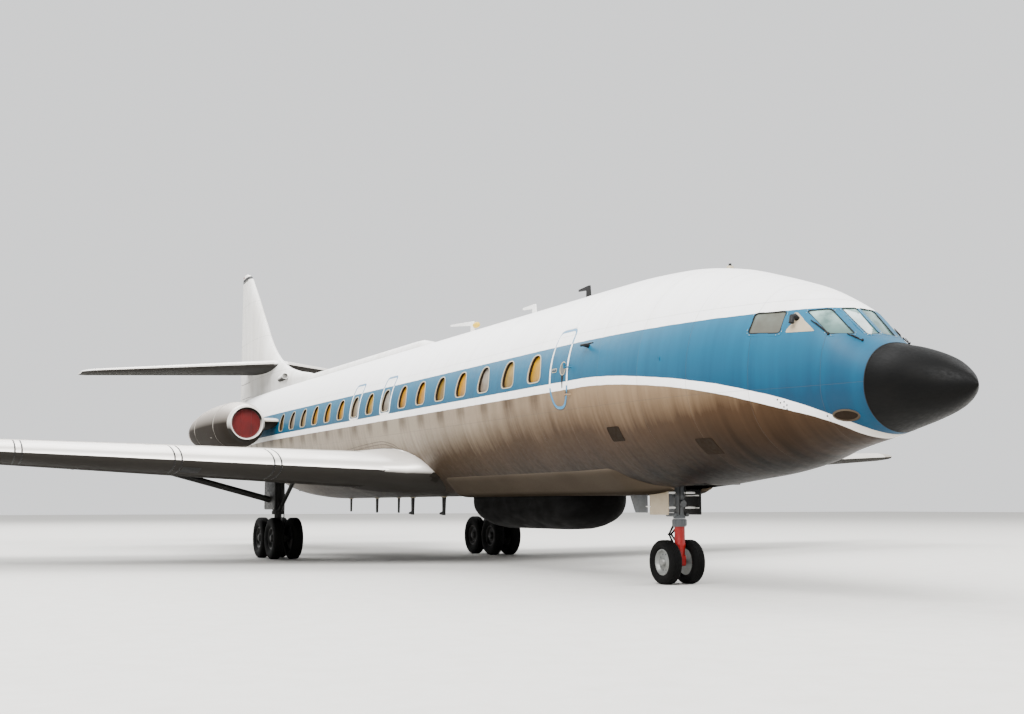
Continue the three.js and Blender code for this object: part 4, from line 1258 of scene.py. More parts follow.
class Repeat:
    """Geometry Nodes trees that set one small shape in a row or on a set of places."""

    DOME = ((-0.3, 1.0), (0.1, 1.0), (0.45, 0.7), (0.6, 0.0))

    def __init__(self) -> None:
        """Builds the two trees."""
        self.row, self.places = self.build_row(), self.build_places()

    def start(self, name: str, **inputs: str) -> tuple[Callable, list[NodeSocket]]:
        """Starts a tree with named inputs, the first its geometry and the last its finish.

        Args:
            name: the tree's name.
            inputs: the kinds of the other inputs, by name.

        Returns:
            The function that adds nodes to the tree, and its inputs.
        """
        tree = bpy.data.node_groups.new(name, "GeometryNodeTree")
        for label, kind in {"Geometry": "Geometry", **inputs, "Finish": "Material"}.items():
            tree.interface.new_socket(label, in_out="INPUT", socket_type="NodeSocket" + kind)
        tree.interface.new_socket("Geometry", in_out="OUTPUT", socket_type="NodeSocketGeometry")
        nodes = partial(add, tree)
        return nodes, list(nodes("NodeGroupInput", out=-1).outputs)

    def end(self, nodes: Callable, copies: NodeSocket, finish: NodeSocket) -> NodeTree:
        """Ends a tree with real geometry and its material.

        Args:
            nodes: adds nodes.
            copies: the copies of the shape.
            finish: the input for their material.

        Returns:
            The tree.
        """
        real = nodes("GeometryNodeRealizeInstances", copies)
        return nodes("NodeGroupOutput", nodes("GeometryNodeSetMaterial", real, None, finish), out=-1).id_data

    def build_row(self) -> NodeTree:
        """A straight row of copies, a pitch apart.

        Returns:
            The tree.
        """
        nodes, inputs = self.start("even_row", Shape="Object", Count="Int", Pitch="Vector")
        _, shape, count, pitch, finish, *_ = inputs
        line = nodes("GeometryNodeMeshLine", count, None, pitch)
        unit = nodes("GeometryNodeObjectInfo", shape, out="Geometry")
        return self.end(nodes, nodes("GeometryNodeInstanceOnPoints", line, None, unit), finish)

    def build_places(self) -> NodeTree:
        """A copy on every point, turned to the point's outward direction.

        Returns:
            The tree.
        """
        nodes, (points, shape, size, finish, *_) = self.start("set_on_places", Shape="Object", Size="Float")
        unit = nodes("GeometryNodeObjectInfo", shape, out="Geometry")
        outward = nodes("GeometryNodeInputNamedAttribute", "outward", data_type="FLOAT_VECTOR")
        turn = nodes("FunctionNodeAlignRotationToVector", None, None, outward, axis="Z")
        copies = nodes("GeometryNodeInstanceOnPoints", points, None, unit, None, None, turn, size)
        return self.end(nodes, copies, finish)

    def run(
        self, tree: NodeTree, base: Object, shape: Solid, finish: Material, slot: Slot,
        body: str = AIRFRAME, crease: float = CREASE, **values: object,
    ) -> None:
        """Runs a tree on a piece and hands the plain result over.

        Args:
            tree: the tree.
            base: the piece that it runs on.
            shape: what is repeated.
            finish: the copies' material.
            slot: the slot that their finish belongs to.
            body: the body that they ride on.
            crease: edges that turn by more degrees than this stay sharp.
            values: the tree's other inputs by name.
        """
        unit = shape.piece(base.name + "_unit", crease=crease)
        given = {**values, "Shape": unit, "Finish": finish}
        change = base.modifiers.new("repeat", "NODES")
        change.node_group = tree
        for item in tree.interface.items_tree:
            if item.item_type == "SOCKET" and item.in_out == "INPUT" and item.name in given:
                change[item.identifier] = given[item.name]
        applied(base)
        bpy.data.objects.remove(unit)
        hand_over(base, slot, body=body)

    def copies(self, name: str, shape: Solid, count: int, pitch: Vector, finish: Material, slot: Slot) -> None:
        """A row of one shape.

        Args:
            name: the piece's name.
            shape: the first of the row, at its own place.
            count: how many there are.
            pitch: the step from one to the next.
            finish: their material.
            slot: the slot that their finish belongs to.
        """
        self.run(self.row, Solid([Vector()]).piece(name), shape, finish, slot, Count=count, Pitch=tuple(pitch))

    def on_places(
        self, name: str, places: Sequence[tuple[Vector, Vector]], size: float, finish: Material, slot: Slot,
        shape: Optional[Solid] = None, **rest: object,
    ) -> None:
        """Copies of a shape on a surface, or domed rivets where no shape is given.

        Args:
            name: the piece's name.
            places: places and outward directions.
            size: scale of the shape, or the radius of a rivet's head.
            finish: their material.
            slot: the slot that their finish belongs to.
            shape: the shape, with its outside along Z.
            rest: the body that they ride on.
        """
        base = Solid([place for place, _ in places]).piece(name)
        made = base.data.attributes.new("outward", "FLOAT_VECTOR", "POINT")
        made.data.foreach_set("vector", [c for _, outward in places for c in outward])
        unit = shape or Solid().spun(Vector(), UP, self.DOME, 8)
        self.run(self.places, base, unit, finish, slot, crease=CREASE if shape else 60, Size=size, **rest)


def on_skin(skin: Skin, corners: Sequence[Vector]) -> tuple[Patch, list[Point2]]:
    """A patch that is seen straight on, from corners near the skin.

    Args:
        skin: the fuselage's surface.
        corners: three or four corners.

    Returns:
        The patch and the corners in its own flat measure.
    """
    centre = sum(corners, Vector()) / len(corners)
    normal = (corners[1] - corners[0]).cross(corners[2] - corners[0]).normalized()
    if normal.dot(Vector((centre.x, -0.5, 0.2))) < 0:
        normal.negate()
    u = (corners[1] - corners[0]).normalized()
    v = normal.cross(u)
    flat = [((p - centre).dot(u), (p - centre).dot(v)) for p in corners]
    return Patch(lambda p, grow: skin.drop(centre + u * p[0] + v * p[1], -normal, grow)), flat


def hinge_lug(
    fixed: Solid, moving: Solid, knuckle: Vector, axis: Vector, feet: Sequence[Vector], into: Vector
) -> None:
    """Adds the fixed and the moving half of a hinge lug, with its pin.

    Args:
        fixed: the solid that gets the fixed half and the pin.
        moving: the solid that gets the moving half.
        knuckle: middle of the lug, on the hinge line.
        axis: direction of the hinge line.
        feet: where the two arms start, the fixed one first.
        into: how far off the hinge line the arms end.
    """
    knob, pin = ((0, 0), (0, 0.02), (0.036, 0.02), (0.036, 0)), ((0, 0), (0, 0.009), (0.09, 0.009), (0.09, 0))
    for made, step, low, foot in zip((fixed, moving), (-1, 1), (-0.038, 0.002), feet):
        made.spun(knuckle + axis * low, axis, knob, 16)
        arm = (foot, knuckle + into + AFT * step * 0.012)
        made.rod([p + axis * (low + 0.018) for p in arm], 0.013, 8)
    fixed.spun(knuckle - axis * 0.045, axis, pin, 12)


@dataclass
class Cockpit:
    """Six panes in their frames, wipers and the small fittings of the nose."""

    skin: Skin
    paint: Palette
    repeat: Repeat
    panes: tuple[tuple[tuple[float, float, float], ...], ...] = (
        ((0.012, 1.838, 3.480), (0.255, 1.838, 3.475), (0.215, 1.415, 3.105), (0.012, 1.430, 3.125)),
        ((0.355, 1.880, 3.467), (0.563, 2.084, 3.456), (0.567, 1.700, 3.122), (0.340, 1.488, 3.115)),
        ((0.674, 2.302, 3.479), (0.866, 2.683, 3.488), (0.988, 2.692, 3.224), (0.816, 2.287, 3.192)),
    )
    corner: float = 0.05
    seal: float = 0.01
    recess: float = 0.012

    def patches(self) -> list[tuple[Patch, list[Point2]]]:
        """Each pane of the port side as a patch and its rounded outline."""
        pairs = [on_skin(self.skin, [spot(*c) for c in corners]) for corners in self.panes]
        return [(patch, rounded(flat, self.corner)) for patch, flat in pairs]

    def pockets(self) -> Solid:
        """The holes on both sides that the panes sit in.

        Returns:
            Closed cutters.
        """
        made = Solid()
        for patch, line in self.patches():
            made.join(patch.plate(line, 0.06, -0.034))
        return made.mirrored()

    def build(self) -> None:
        """Builds the panes, seals, frames, screws and fittings."""
        glass, seals, frames, screws = Solid(), Solid(), Solid(), []
        for patch, line in self.patches():
            glass.join(patch.plate(scaled(line, -0.002), -self.recess, -0.032))
            seals.join(patch.frame(scaled(line, 0.004), scaled(line, -self.seal), 0.002, -0.02))
            frames.join(patch.frame(scaled(line, 0.036), scaled(line, 0.005), 0.003, -0.006))
            for p in scaled(line, 0.02)[::2]:
                foot = patch.place(p, 0.003)
                out = patch.place(p, 0.05) - foot
                screws += [(foot, out), (across(foot), across(out))]
        dress(glass.mirrored(), "cockpit_panes", self.paint.glass, Slot.GLASS, "cockpit_glazing")
        dress(seals.mirrored(), "cockpit_pane_seals", self.paint.seal, Slot.SKIN)
        dress(frames.mirrored(), "cockpit_pane_frames", self.paint.livery, Slot.SKIN)
        self.repeat.on_places("cockpit_frame_screws", screws, 0.0045, self.paint.trim, Slot.ALLOY)
        self.wipers()
        self.probes()
        self.plates()

    def wipers(self) -> None:
        """Builds a wiper arm and blade on each windscreen."""
        made = Solid()
        inwards = Vector((-0.35, 0.75, -0.45)).normalized()
        hub = [(-0.02, 0.0), (-0.02, 0.016), (0.012, 0.014), (0.018, 0.0)]
        outer = (0.570, 1.705, 3.122), (0.606, 1.964, 3.316)
        inner = (0.351, 1.372, 3.021), (0.423, 1.546, 3.117)
        for start, end in (outer, inner):
            a, b = spot(*start), spot(*end)
            line = [self.skin.drop(a + (b - a) * k / 4, inwards, 0.014) for k in range(5)]
            made.rod(line, 0.007, 8).rod([line[1] - inwards * 0.012, line[3] - inwards * 0.016], 0.005, 8)
            made.spun(line[0], -inwards, hub, 12)
        dress(made.mirrored(), "windscreen_wipers", self.paint.seal, Slot.STEEL)

    def probes(self) -> None:
        """Builds the vent's elbow pipe, the air data probes and the static ports."""
        foot = self.skin.drop(spot(-0.70, 2.13, 3.37), Vector((1, 0.2, -0.3)).normalized(), -0.01)
        steps = ((0, 0, 0), (-0.06, -0.02, 0.03), (-0.11, -0.03, 0.02), (-0.13, -0.04, -0.06))
        bend = [foot + Vector(step) for step in steps]
        dress(Solid().rod(bend, [0.034, 0.034, 0.032, 0.034]), "vent_elbow", self.paint.seal, Slot.STEEL)
        root = self.skin.beside(5.72, 3.39, 1, -0.01)
        tip = root + Vector((1, 0, 0.1)) * 0.11
        probe = Solid().rod([root, tip], [0.03, 0.018], 12).rod([tip + AFT * 0.04, tip - AFT * 0.3], [0.02, 0.01], 12)
        dress(probe.mirrored(), "air_data_probes", self.paint.seal, Slot.STEEL)
        radius = 0.034
        rows = [(-0.01, 0), (-0.01, radius), (0.003, radius), (0.004, radius * 0.8)]
        rows += [(-0.002, radius * 0.6), (-0.002, 0)]
        port = Solid().spun(*self.skin.outward(4.066, 3.038, 1), rows, 20)
        dress(port.mirrored(), "static_ports", self.paint.livery, Slot.ALLOY)

    def plates(self) -> None:
        """Builds the starboard side's vent plate, taxi lamp, hatches and fasteners."""
        corners = ((-0.630, 2.165, 3.445), (-0.645, 2.205, 3.445), (-0.785, 2.217, 3.193), (-0.634, 1.864, 3.179))
        patch, flat = on_skin(self.skin, [spot(*c) for c in corners])
        dress(patch.plate(rounded(flat, 0.02), 0.004, -0.01), "vent_plate", self.paint.plate, Slot.SKIN)
        side = side_patch(self.skin, -1)
        lamp = oval(1.482, 2.16, 0.172, 0.07, 28)
        dress(side.frame(lamp, scaled(lamp, -0.02), 0.006, -0.01), "taxi_lamp_ring", self.paint.belly, Slot.SKIN)
        dress(side.plate(scaled(lamp, -0.02), 0.002, -0.01), "taxi_lamp_cover", self.paint.hatch, Slot.ALLOY)
        for name, s, z in (("nose_hatch", 3.58, 1.885), ("drain_hatch", 5.27, 2.12)):
            hatch = rounded(oblong(s - 0.15, s + 0.15, z - 0.1, z + 0.1), 0.03, 4, 0.05)
            dress(side.plate(hatch, 0.0025, -0.004), name, self.paint.hatch, Slot.ALLOY)
        dots = ((2.185, 2.32), (2.21, 2.36), (2.23, 2.3), (2.26, 2.35), (2.29, 2.39), (2.2, 2.27), (1.725, 2.166))
        places = [self.skin.outward(station, z, -1) for station, z in dots]
        self.repeat.on_places("nose_fasteners", places, 0.011, self.paint.seal, Slot.ALLOY)


@dataclass
class CabinWindows:
    """Rows of rounded-triangle windows with their frames and drawn blinds."""

    skin: Skin
    paint: Palette
    repeat: Repeat
    count: int = 15
    low: float = 2.998
    high: float = 3.424
    half: float = 0.222
    apex: float = 0.115
    recess: float = 0.052

    def outline(self, station: float, share: float = 1.0) -> list[Point2]:
        """A window's outline.

        Args:
            station: its middle.
            share: its width as a share of the full one.

        Returns:
            Stations and heights.
        """
        wide, narrow = self.half * share, self.apex * share
        waist = self.low + 0.24
        corners = [(-wide, self.low), (wide, self.low), (wide * 0.88, waist), (narrow, self.high)]
        corners += [(-narrow, self.high), (-wide * 0.88, waist)]
        return [(station + s, z) for s, z in rounded(corners, 0.12, 4)]

    def stations(self) -> list[float]:
        """Middles of all windows on a side."""
        return [WINDOW_START + 0.02 + SEAM_PITCH * i for i in range(self.count + 1)]

    def pockets(self, start: float, end: float) -> Solid:
        """The holes that the windows sit in, with those that reach over from the next length.

        Args:
            start: first station.
            end: last station.

        Returns:
            Closed cutters for both sides.
        """
        made = Solid()
        for i, station in enumerate(self.stations()):
            if start - 0.3 < station < end + 0.3:
                line = self.outline(station, 1.0 if i < self.count else 0.9)
                made.join(side_patch(self.skin, 1).plate(line, 0.05, -self.recess - 0.014, rings=1))
        return made.mirrored()

    def build(self) -> None:
        """Builds frames, recess linings in painted shade, panes and exits: the even row by repeats, the narrower last
        window on its own.
        """
        patch = side_patch(self.skin, 1)
        sets = []
        for station, share in ((self.stations()[0], 1.0), (self.stations()[-1], 0.9)):
            line = self.outline(station, share)
            sets.append((
                patch.frame(scaled(line, 0.011), scaled(line, -0.005), 0.004, -0.01),
                patch.frame(scaled(line, -0.001), scaled(line, -0.008), -0.011, -self.recess),
                patch.plate(scaled(line, -0.002), -self.recess, -self.recess - 0.012),
            ))
        # The lining inside each recess is dark brown, painted as the shade that falls there.
        kinds = (
            ("window_frames", self.paint.trim, Slot.ALLOY), ("window_reveals", self.paint.reveal, Slot.SKIN),
            ("panes", self.paint.blinds, Slot.GLASS),
        )
        for (kind, finish, slot), first, last in zip(kinds, *sets):
            for side in Side:
                name = f"cabin_{kind}_{side.word}"
                self.repeat.copies(name, side.turn(first), self.count, AFT * SEAM_PITCH, finish, slot)
            both(last, f"aft_{kind}", finish, slot)
        for station in (self.stations()[7], self.stations()[9]):
            line = rounded(oblong(station - 0.27, station + 0.27, 2.95, 3.68), 0.09, 4, 0.05)
            stripe = patch.frame(scaled(line, 0.022), scaled(line, -0.022), 0.0015, -0.004)
            for side in Side:
                name = f"exit_outline_{side.word}_{int(station * 10)}"
                dress(side.turn(stripe), name, self.paint.outline, Slot.SKIN)


@dataclass
class SideDoor:
    """A door that swings on a hinge along its front edge, with its window, handle and painted outline."""

    skin: Skin
    paint: Palette
    name: str
    side: Side
    front: float
    rear: float
    sill: float
    head: float
    chamfer: float
    depth: float = 0.09
    gap: float = 0.006
    hinge_x: float = 1.645
    lugs: tuple[float, float] = (2.75, 3.15)

    def patch(self, inset: float) -> Patch:
        """A patch whose rear edge is round about the hinge line.

        Args:
            inset: how far it stays inside the opening.

        Returns:
            The patch.
        """

        def place(p: Point2, grow: float) -> Vector:
            """Puts a flat point on the skin, no further from the hinge line than the door reaches.

            Args:
                p: station and height.
                grow: height above the skin.

            Returns:
                The place.
            """
            here = self.skin.beside(p[0], p[1], 1, grow)
            reach = self.rear - self.front - inset
            limit = self.front + math.sqrt(reach**2 - (here.x - self.hinge_x) ** 2)
            here.y = min(here.y, y_at(limit))
            return here

        return Patch(place)

    def outline(self, inset: float) -> list[Point2]:
        """The door's outline, with a round head and a narrower foot.

        Args:
            inset: distance inside the opening.

        Returns:
            Stations and heights.
        """
        s0, s1 = self.front + inset, self.rear - inset
        z0, z1 = self.sill + inset, self.head - inset
        cut = self.chamfer
        corners = [(s0, z0 + cut * 2), (s0 + cut, z0), (s1 - cut, z0), (s1, z0 + cut * 2), (s1, z1), (s0, z1)]
        return rounded(corners, 0.14, 6, 0.05)

    def pocket(self) -> Solid:
        """The opening in the hull."""
        return self.side.turn(self.patch(0.0).plate(self.outline(0.0), 0.08, -self.depth - self.gap, 2))

    def hang(self, drawn: Solid, word: str, finish: Material, slot: Slot, *nodes: str) -> None:
        """Turns a solid to the door's side and dresses it as a piece of the door."""
        dress(self.side.turn(drawn), f"{self.name}_{word}", finish, slot, *nodes, body=self.name)

    def build(self) -> None:
        """Builds the door, its window, handle, lugs and painted outline."""
        patch, line, paint = self.patch(self.gap), self.outline(self.gap), self.paint
        port = oval(self.front + 0.16, 3.13, 0.075, 0.09, 24)
        drip = [(self.front + s, z) for s, z in ((0.13, 3.05), (0.2, 3.05), (0.185, 2.84), (0.165, 2.84))]
        middle = (self.front + self.rear) / 2
        grip = rounded(oblong(middle + 0.06, middle + 0.2, 3.09, 3.15), 0.02)
        bar = [patch.place((middle + s, 3.12), 0.012) for s in (0.075, 0.13, 0.185)]
        self.hang(patch.plate(line, 0.0, -self.depth, 6), "panel", paint.livery, Slot.SKIN, self.name)
        stripe = patch.frame(scaled(line, -0.004), scaled(line, -0.044), 0.0015, -0.004)
        self.hang(stripe, "outline", paint.outline, Slot.SKIN)
        self.hang(patch.frame(scaled(port, 0.012), port, 0.005, -0.01), "window_frame", paint.trim, Slot.ALLOY)
        self.hang(patch.plate(scaled(port, -0.001), 0.001, -0.01), "window_pane", paint.glass, Slot.GLASS)
        self.hang(patch.plate(rounded(drip, 0.02, 4, 0.05), 0.002, -0.004), "drip_seal", paint.seal, Slot.SKIN)
        self.hang(patch.frame(grip, scaled(grip, -0.01), 0.004, -0.01), "handle_dish", paint.trim, Slot.ALLOY)
        self.hang(Solid().rod(bar, 0.008, 10), "handle", paint.grey, Slot.STEEL)
        fixed, moving = Solid(), Solid()
        for z in self.lugs:
            feet = [self.skin.beside(self.front + step * 0.085, z, 1, -0.02) for step in (-1, 1)]
            hinge_lug(fixed, moving, spot(self.hinge_x, self.front, z), UP, feet, PORT * -0.004)
        dress(self.side.turn(fixed), self.name + "_fixed_lugs", paint.livery, Slot.STEEL)
        self.hang(moving, "lugs", paint.livery, Slot.STEEL)


@dataclass
class Airstair:
    """The rear stair: a belly panel with treads on its inside, hinged at its front edge."""

    skin: Skin
    paint: Palette
    repeat: Repeat
    start: float = 23.5
    end: float = 27.0
    half: float = 0.44
    depth: float = 0.26
    hinge_z: float = 1.555
    gap: float = 0.006
    relief: float = 0.9
    treads: int = 13

    def limit(self, x: float, inset: float, grow: float) -> float:
        """The rear edge's station at a place across the stair, so that it is round about the hinge line.

        Args:
            x: distance to port.
            inset: how far it stays inside the opening.
            grow: height above the skin.

        Returns:
            The station.
        """
        reach, station = self.end - self.start - inset, self.end
        for _ in range(6):
            z = self.skin.below(x, station, grow).z
            station = self.start + math.sqrt(reach**2 - (z - self.hinge_z) ** 2)
        return station

    def sheet(self, inset: float, outer: float, inner: float) -> Solid:
        """A plate of the belly between the stair's edges.

        Args:
            inset: distance inside the opening.
            outer: distance of its face outside the skin.
            inner: distance of its back.

        Returns:
            The solid.
        """
        across = [(-1 + 2 * i / 12) * (self.half - inset) for i in range(13)]
        rim = [(x, outer) for x in across] + [(x, inner) for x in reversed(across)]
        ends = [self.limit(x, inset, grow) for x, grow in rim]
        # The front edge is cut back below the hinge line, where the panel would swing into the hull.
        drops = [max(0.0, self.hinge_z - self.skin.below(x, self.start, grow).z) for x, grow in rim]
        fronts = [self.start + inset + (self.relief * drop if inset else 0.0) for drop in drops]
        rings = []
        for k in range(19):
            stations = [front + (end - front) * k / 18 for front, end in zip(fronts, ends)]
            rings.append([self.skin.below(x, s, grow) for (x, grow), s in zip(rim, stations)])
        return Solid().loft(rings)

    def pocket(self) -> Solid:
        """The opening in the hull."""
        return self.sheet(0.0, 0.1, -self.depth - self.gap)

    def build(self) -> None:
        """Builds the panel, its treads and its lugs."""
        body, paint = "rear_airstair", self.paint
        dress(self.sheet(self.gap, 0.0, -0.17), body + "_panel", paint.livery, Slot.SKIN, body, body=body, crease=40)
        places = []
        for i in range(self.treads):
            station = self.start + 0.3 + i * (self.end - self.start - 0.55) / (self.treads - 1)
            foot = self.skin.below(0, station, -0.175)
            places.append((foot, self.skin.below(0, station, -0.25) - foot))
        side = ((-0.085, -0.01), (0.085, -0.01), (0.085, 0.03), (-0.075, 0.065))
        slat = Solid().loft([[Vector((x, y, z)) for y, z in side] for x in (-0.36, 0.36)])
        self.repeat.on_places(body + "_treads", places, 1.0, paint.alloy, Slot.ALLOY, slat, body=body)
        fixed, moving = Solid(), Solid()
        for x in (-0.32, 0.32):
            feet = [self.skin.below(x, self.start + step * 0.085, -0.02) for step in (-1, 1)]
            hinge_lug(fixed, moving, spot(x, self.start, self.hinge_z), PORT, feet, UP * 0.004)
        dress(fixed, body + "_fixed_lugs", paint.grey, Slot.STEEL)
        dress(moving, body + "_lugs", paint.grey, Slot.STEEL, body=body)


@dataclass
class Fuselage:
    """The hull in its six lengths, with the openings that other sub-assemblies ask for."""

    skin: Skin
    paint: Palette
    cockpit: Cockpit
    windows: CabinWindows
    doors: tuple[SideDoor, ...]
    stair: Airstair
    gap: float = 0.0004
    lengths: tuple[tuple[str, float, float], ...] = (
        ("nose_radome", 0.0, 1.15), ("nose_section", 1.15, 4.9), ("forward_cabin", 4.9, 12.9),
        ("centre_fuselage", 12.9, 20.4), ("rear_fuselage", 20.4, 28.5), ("tail_cone", 28.5, LENGTH),
    )

    def cutters(self, name: str, start: float, end: float) -> Solid:
        """All openings in one length of the hull.

        Args:
            name: the length's node.
            start: its first station.
            end: its last station.

        Returns:
            Closed cutters that don't touch each other.
        """
        made = self.windows.pockets(start, end)
        if name == "nose_section":
            made.join(self.cockpit.pockets())
        if name in ("nose_section", "forward_cabin"):
            made.box(spot(-0.3, 4.65, 1.2), spot(0.3, 6.75, 1.75))
        if name == "forward_cabin":
            for door in self.doors:
                made.join(door.pocket())
        if name == "rear_fuselage":
            made.join(self.stair.pocket())
        return made

    def build(self) -> None:
        """Builds the six lengths and the lining of the nose gear's bay."""
        for name, start, end in self.lengths:
            front = name == "nose_radome"
            finish = self.paint.radome if front else self.paint.livery
            made = self.skin.length(start + (self.gap if start else 0), end).piece(name + "_skin", finish)
            openings = self.cutters(name, start, end)
            if openings.points:
                carve(made, openings.piece("openings"))
            hand_over(smooth(made, 24), Slot.RADOME if front else Slot.SKIN, name)
        joint = self.skin.length(1.146, 1.156, 0.0025)
        dress(joint, "radome_joint_strip", self.paint.seal, Slot.RADOME)
        low, high, wall = 1.42, 1.748, 0.004
        corners = oblong(-0.299, 0.299, 4.651, 6.749)
        inner = [(x * (1 - wall / 0.3), s + (wall if s < 5 else -wall)) for x, s in corners]
        rows = ((inner, high - wall), (inner, low), (corners, low), (corners, high))
        lining = Solid().loft([[spot(x, s, z) for x, s in line] for line, z in rows])
        dress(lining, "nose_bay_lining", self.paint.dark, Slot.SKIN)


def half_thickness(share: float) -> float:
    """Half the thickness of a streamlined section of unit thickness, at a share of its chord."""
    return 5 * (0.2969 * math.sqrt(share) - 0.126 * share - 0.3516 * share**2 + 0.2843 * share**3 - 0.1015 * share**4)


@dataclass
class Foil:
    """A lifting surface given by sections: distance along its span, leading edge, chord, thickness share."""

    sections: tuple[tuple[float, float, float, float], ...]
    rise: Callable[[float], float]
    camber: float = 0.0
    upright: bool = False
    steps: int = 20
    smooth_rows: bool = False

    def row(self, along: float) -> tuple[float, float, float]:
        """Leading edge, chord and thickness share at a place along the span.

        Args:
            along: the place.

        Returns:
            All three, the first two in metres.
        """
        if self.smooth_rows:
            return tuple(blended(self.sections)(along))
        i = max(1, next((k for k, r in enumerate(self.sections) if r[0] >= along), len(self.sections) - 1))
        a, b = self.sections[i - 1], self.sections[i]
        t = (along - a[0]) / (b[0] - a[0])
        return tuple(p + (q - p) * t for p, q in zip(a[1:], b[1:]))

    def place(self, along: float, station: float, up: float) -> Vector:
        """A place at a distance off the middle line.

        Args:
            along: place along the span.
            station: the station.
            up: distance off the line.

        Returns:
            The place.
        """
        if self.upright:
            return spot(up, station, along)
        return spot(along, station, self.rise(along) + up)

    def ring(self, along: float, grow: float = 0.0) -> list[Vector]:
        """The section's outline at a place along the span, pushed out by grow.

        Args:
            along: the place.
            grow: height above the surface.

        Returns:
            The outline.
        """
        lead, chord, share = self.row(along)
        turns = [0.5 + 0.5 * math.cos(math.pi * i / self.steps) for i in range(self.steps + 1)]
        arch = [4 * self.camber * c * (1 - c) for c in turns]
        half = [share * half_thickness(c) for c in turns]
        top = [self.place(along, lead + c * chord, (a + h) * chord + grow) for c, a, h in zip(turns, arch, half)]
        low = [self.place(along, lead + c * chord, (a - h) * chord - grow) for c, a, h in zip(turns, arch, half)]
        return top + low[-2::-1]

    def solid(self, start: float, end: float, step: float) -> Solid:
        """A length of the surface."""
        marks = sorted({*spread(start, end, step), *(r[0] for r in self.sections if start < r[0] < end)})
        return Solid().loft([self.ring(along) for along in marks])

    def hinge(self, along: float, share: float) -> tuple[Vector, float]:
        """A place on the middle line and half the thickness there.

        Args:
            along: place along the span.
            share: share of the chord.

        Returns:
            The place and the half.
        """
        lead, chord, thick = self.row(along)
        arch = 4 * self.camber * share * (1 - share) * chord
        return self.place(along, lead + share * chord, arch), thick * chord * half_thickness(share)

    def sleeve(self, along: float, front: Sequence[Vector], share: float, grow: float, shrink: float) -> list[Vector]:
        """A closed ring round part of a section.

        Args:
            along: place along the span.
            front: points of the section.
            share: share of the chord at which the ring's centre lies.
            grow: height above the section.
            shrink: how far towards the centre its inside lies.

        Returns:
            The ring.
        """
        lead, chord, _ = self.row(along)
        centre = self.place(along, lead + chord * share, 0)
        outer = [p + (p - centre).normalized() * grow for p in front]
        return outer + [centre + (p - centre) * shrink for p in reversed(front)]


@dataclass
class HingeCut:
    """Cuts a control surface off its host, with a round nose about the hinge line."""

    points: list[tuple[Vector, float]]
    up: Vector
    gap: float = 0.006
    region: Optional[Callable[[float], Solid]] = None
    reach: float = 3.2
    deep: float = 0.9

    def box(self, inset: float, start: float) -> Object:
        """Everything aft of the hinge line, as a cutter.

        Args:
            inset: how far it stays inside the ends.
            start: how far aft of the line it starts.

        Returns:
            The cutter.
        """
        first, last = self.points[0][0], self.points[-1][0]
        along = (last - first).normalized()
        aft = along.cross(self.up).normalized()
        if aft.y < 0:
            aft.negate()
        up = along.cross(aft)
        ends = [first + along * inset, last - along * inset]
        flat = oblong(start, self.reach, -self.deep / 2, self.deep / 2)
        return self.kept(Solid().loft([[end + aft * a + up * b for a, b in flat] for end in ends]), inset)

    def nose(self, inset: float, grow: float) -> Object:
        """The round nose about the hinge line.

        Args:
            inset: how far it stays inside the ends.
            grow: added to the radius.

        Returns:
            The nose.
        """
        along = (self.points[-1][0] - self.points[0][0]).normalized()
        path = [p for p, _ in self.points]
        path[0] = path[0] + along * inset
        path[-1] = path[-1] - along * inset
        return self.kept(Solid().rod(path, [r + grow for _, r in self.points], 28), inset)

    def kept(self, drawn: Solid, inset: float) -> Object:
        """A cutter inside the region that the surface keeps to.

        Args:
            drawn: the cutter.
            inset: how far it stays inside the region.

        Returns:
            The cutter.
        """
        cutter = drawn.piece("cutter")
        if self.region:
            carve(cutter, self.region(inset).piece("region"), Cut.COMMON)
        return cutter

    def cut(self, host: Object, name: str) -> Object:
        """Cuts the surface off.

        Args:
            host: the whole surface, which keeps what is left.
            name: the control surface's name.

        Returns:
            The control surface.
        """
        surface = linked(name, host.data.copy())
        carve(surface, self.box(self.gap, 0.0), Cut.COMMON)
        carve(surface, self.nose(self.gap, -0.001), Cut.JOINED)
        carve(host, self.box(0.0, -self.gap))
        carve(host, self.nose(0.0, 2 * self.gap))
        smooth(host, 30)
        return smooth(surface, 30)


def mirror_of(piece: Object, name: str) -> Object:
    """A mirror image of a piece on the other side, with its normals outwards.

    Args:
        piece: the piece.
        name: the image's name.

    Returns:
        The image.
    """
    mesh = piece.data.copy()
    mesh.transform(Matrix.Scale(-1, 4, PORT))
    mesh.flip_normals()
    return linked(name, mesh)


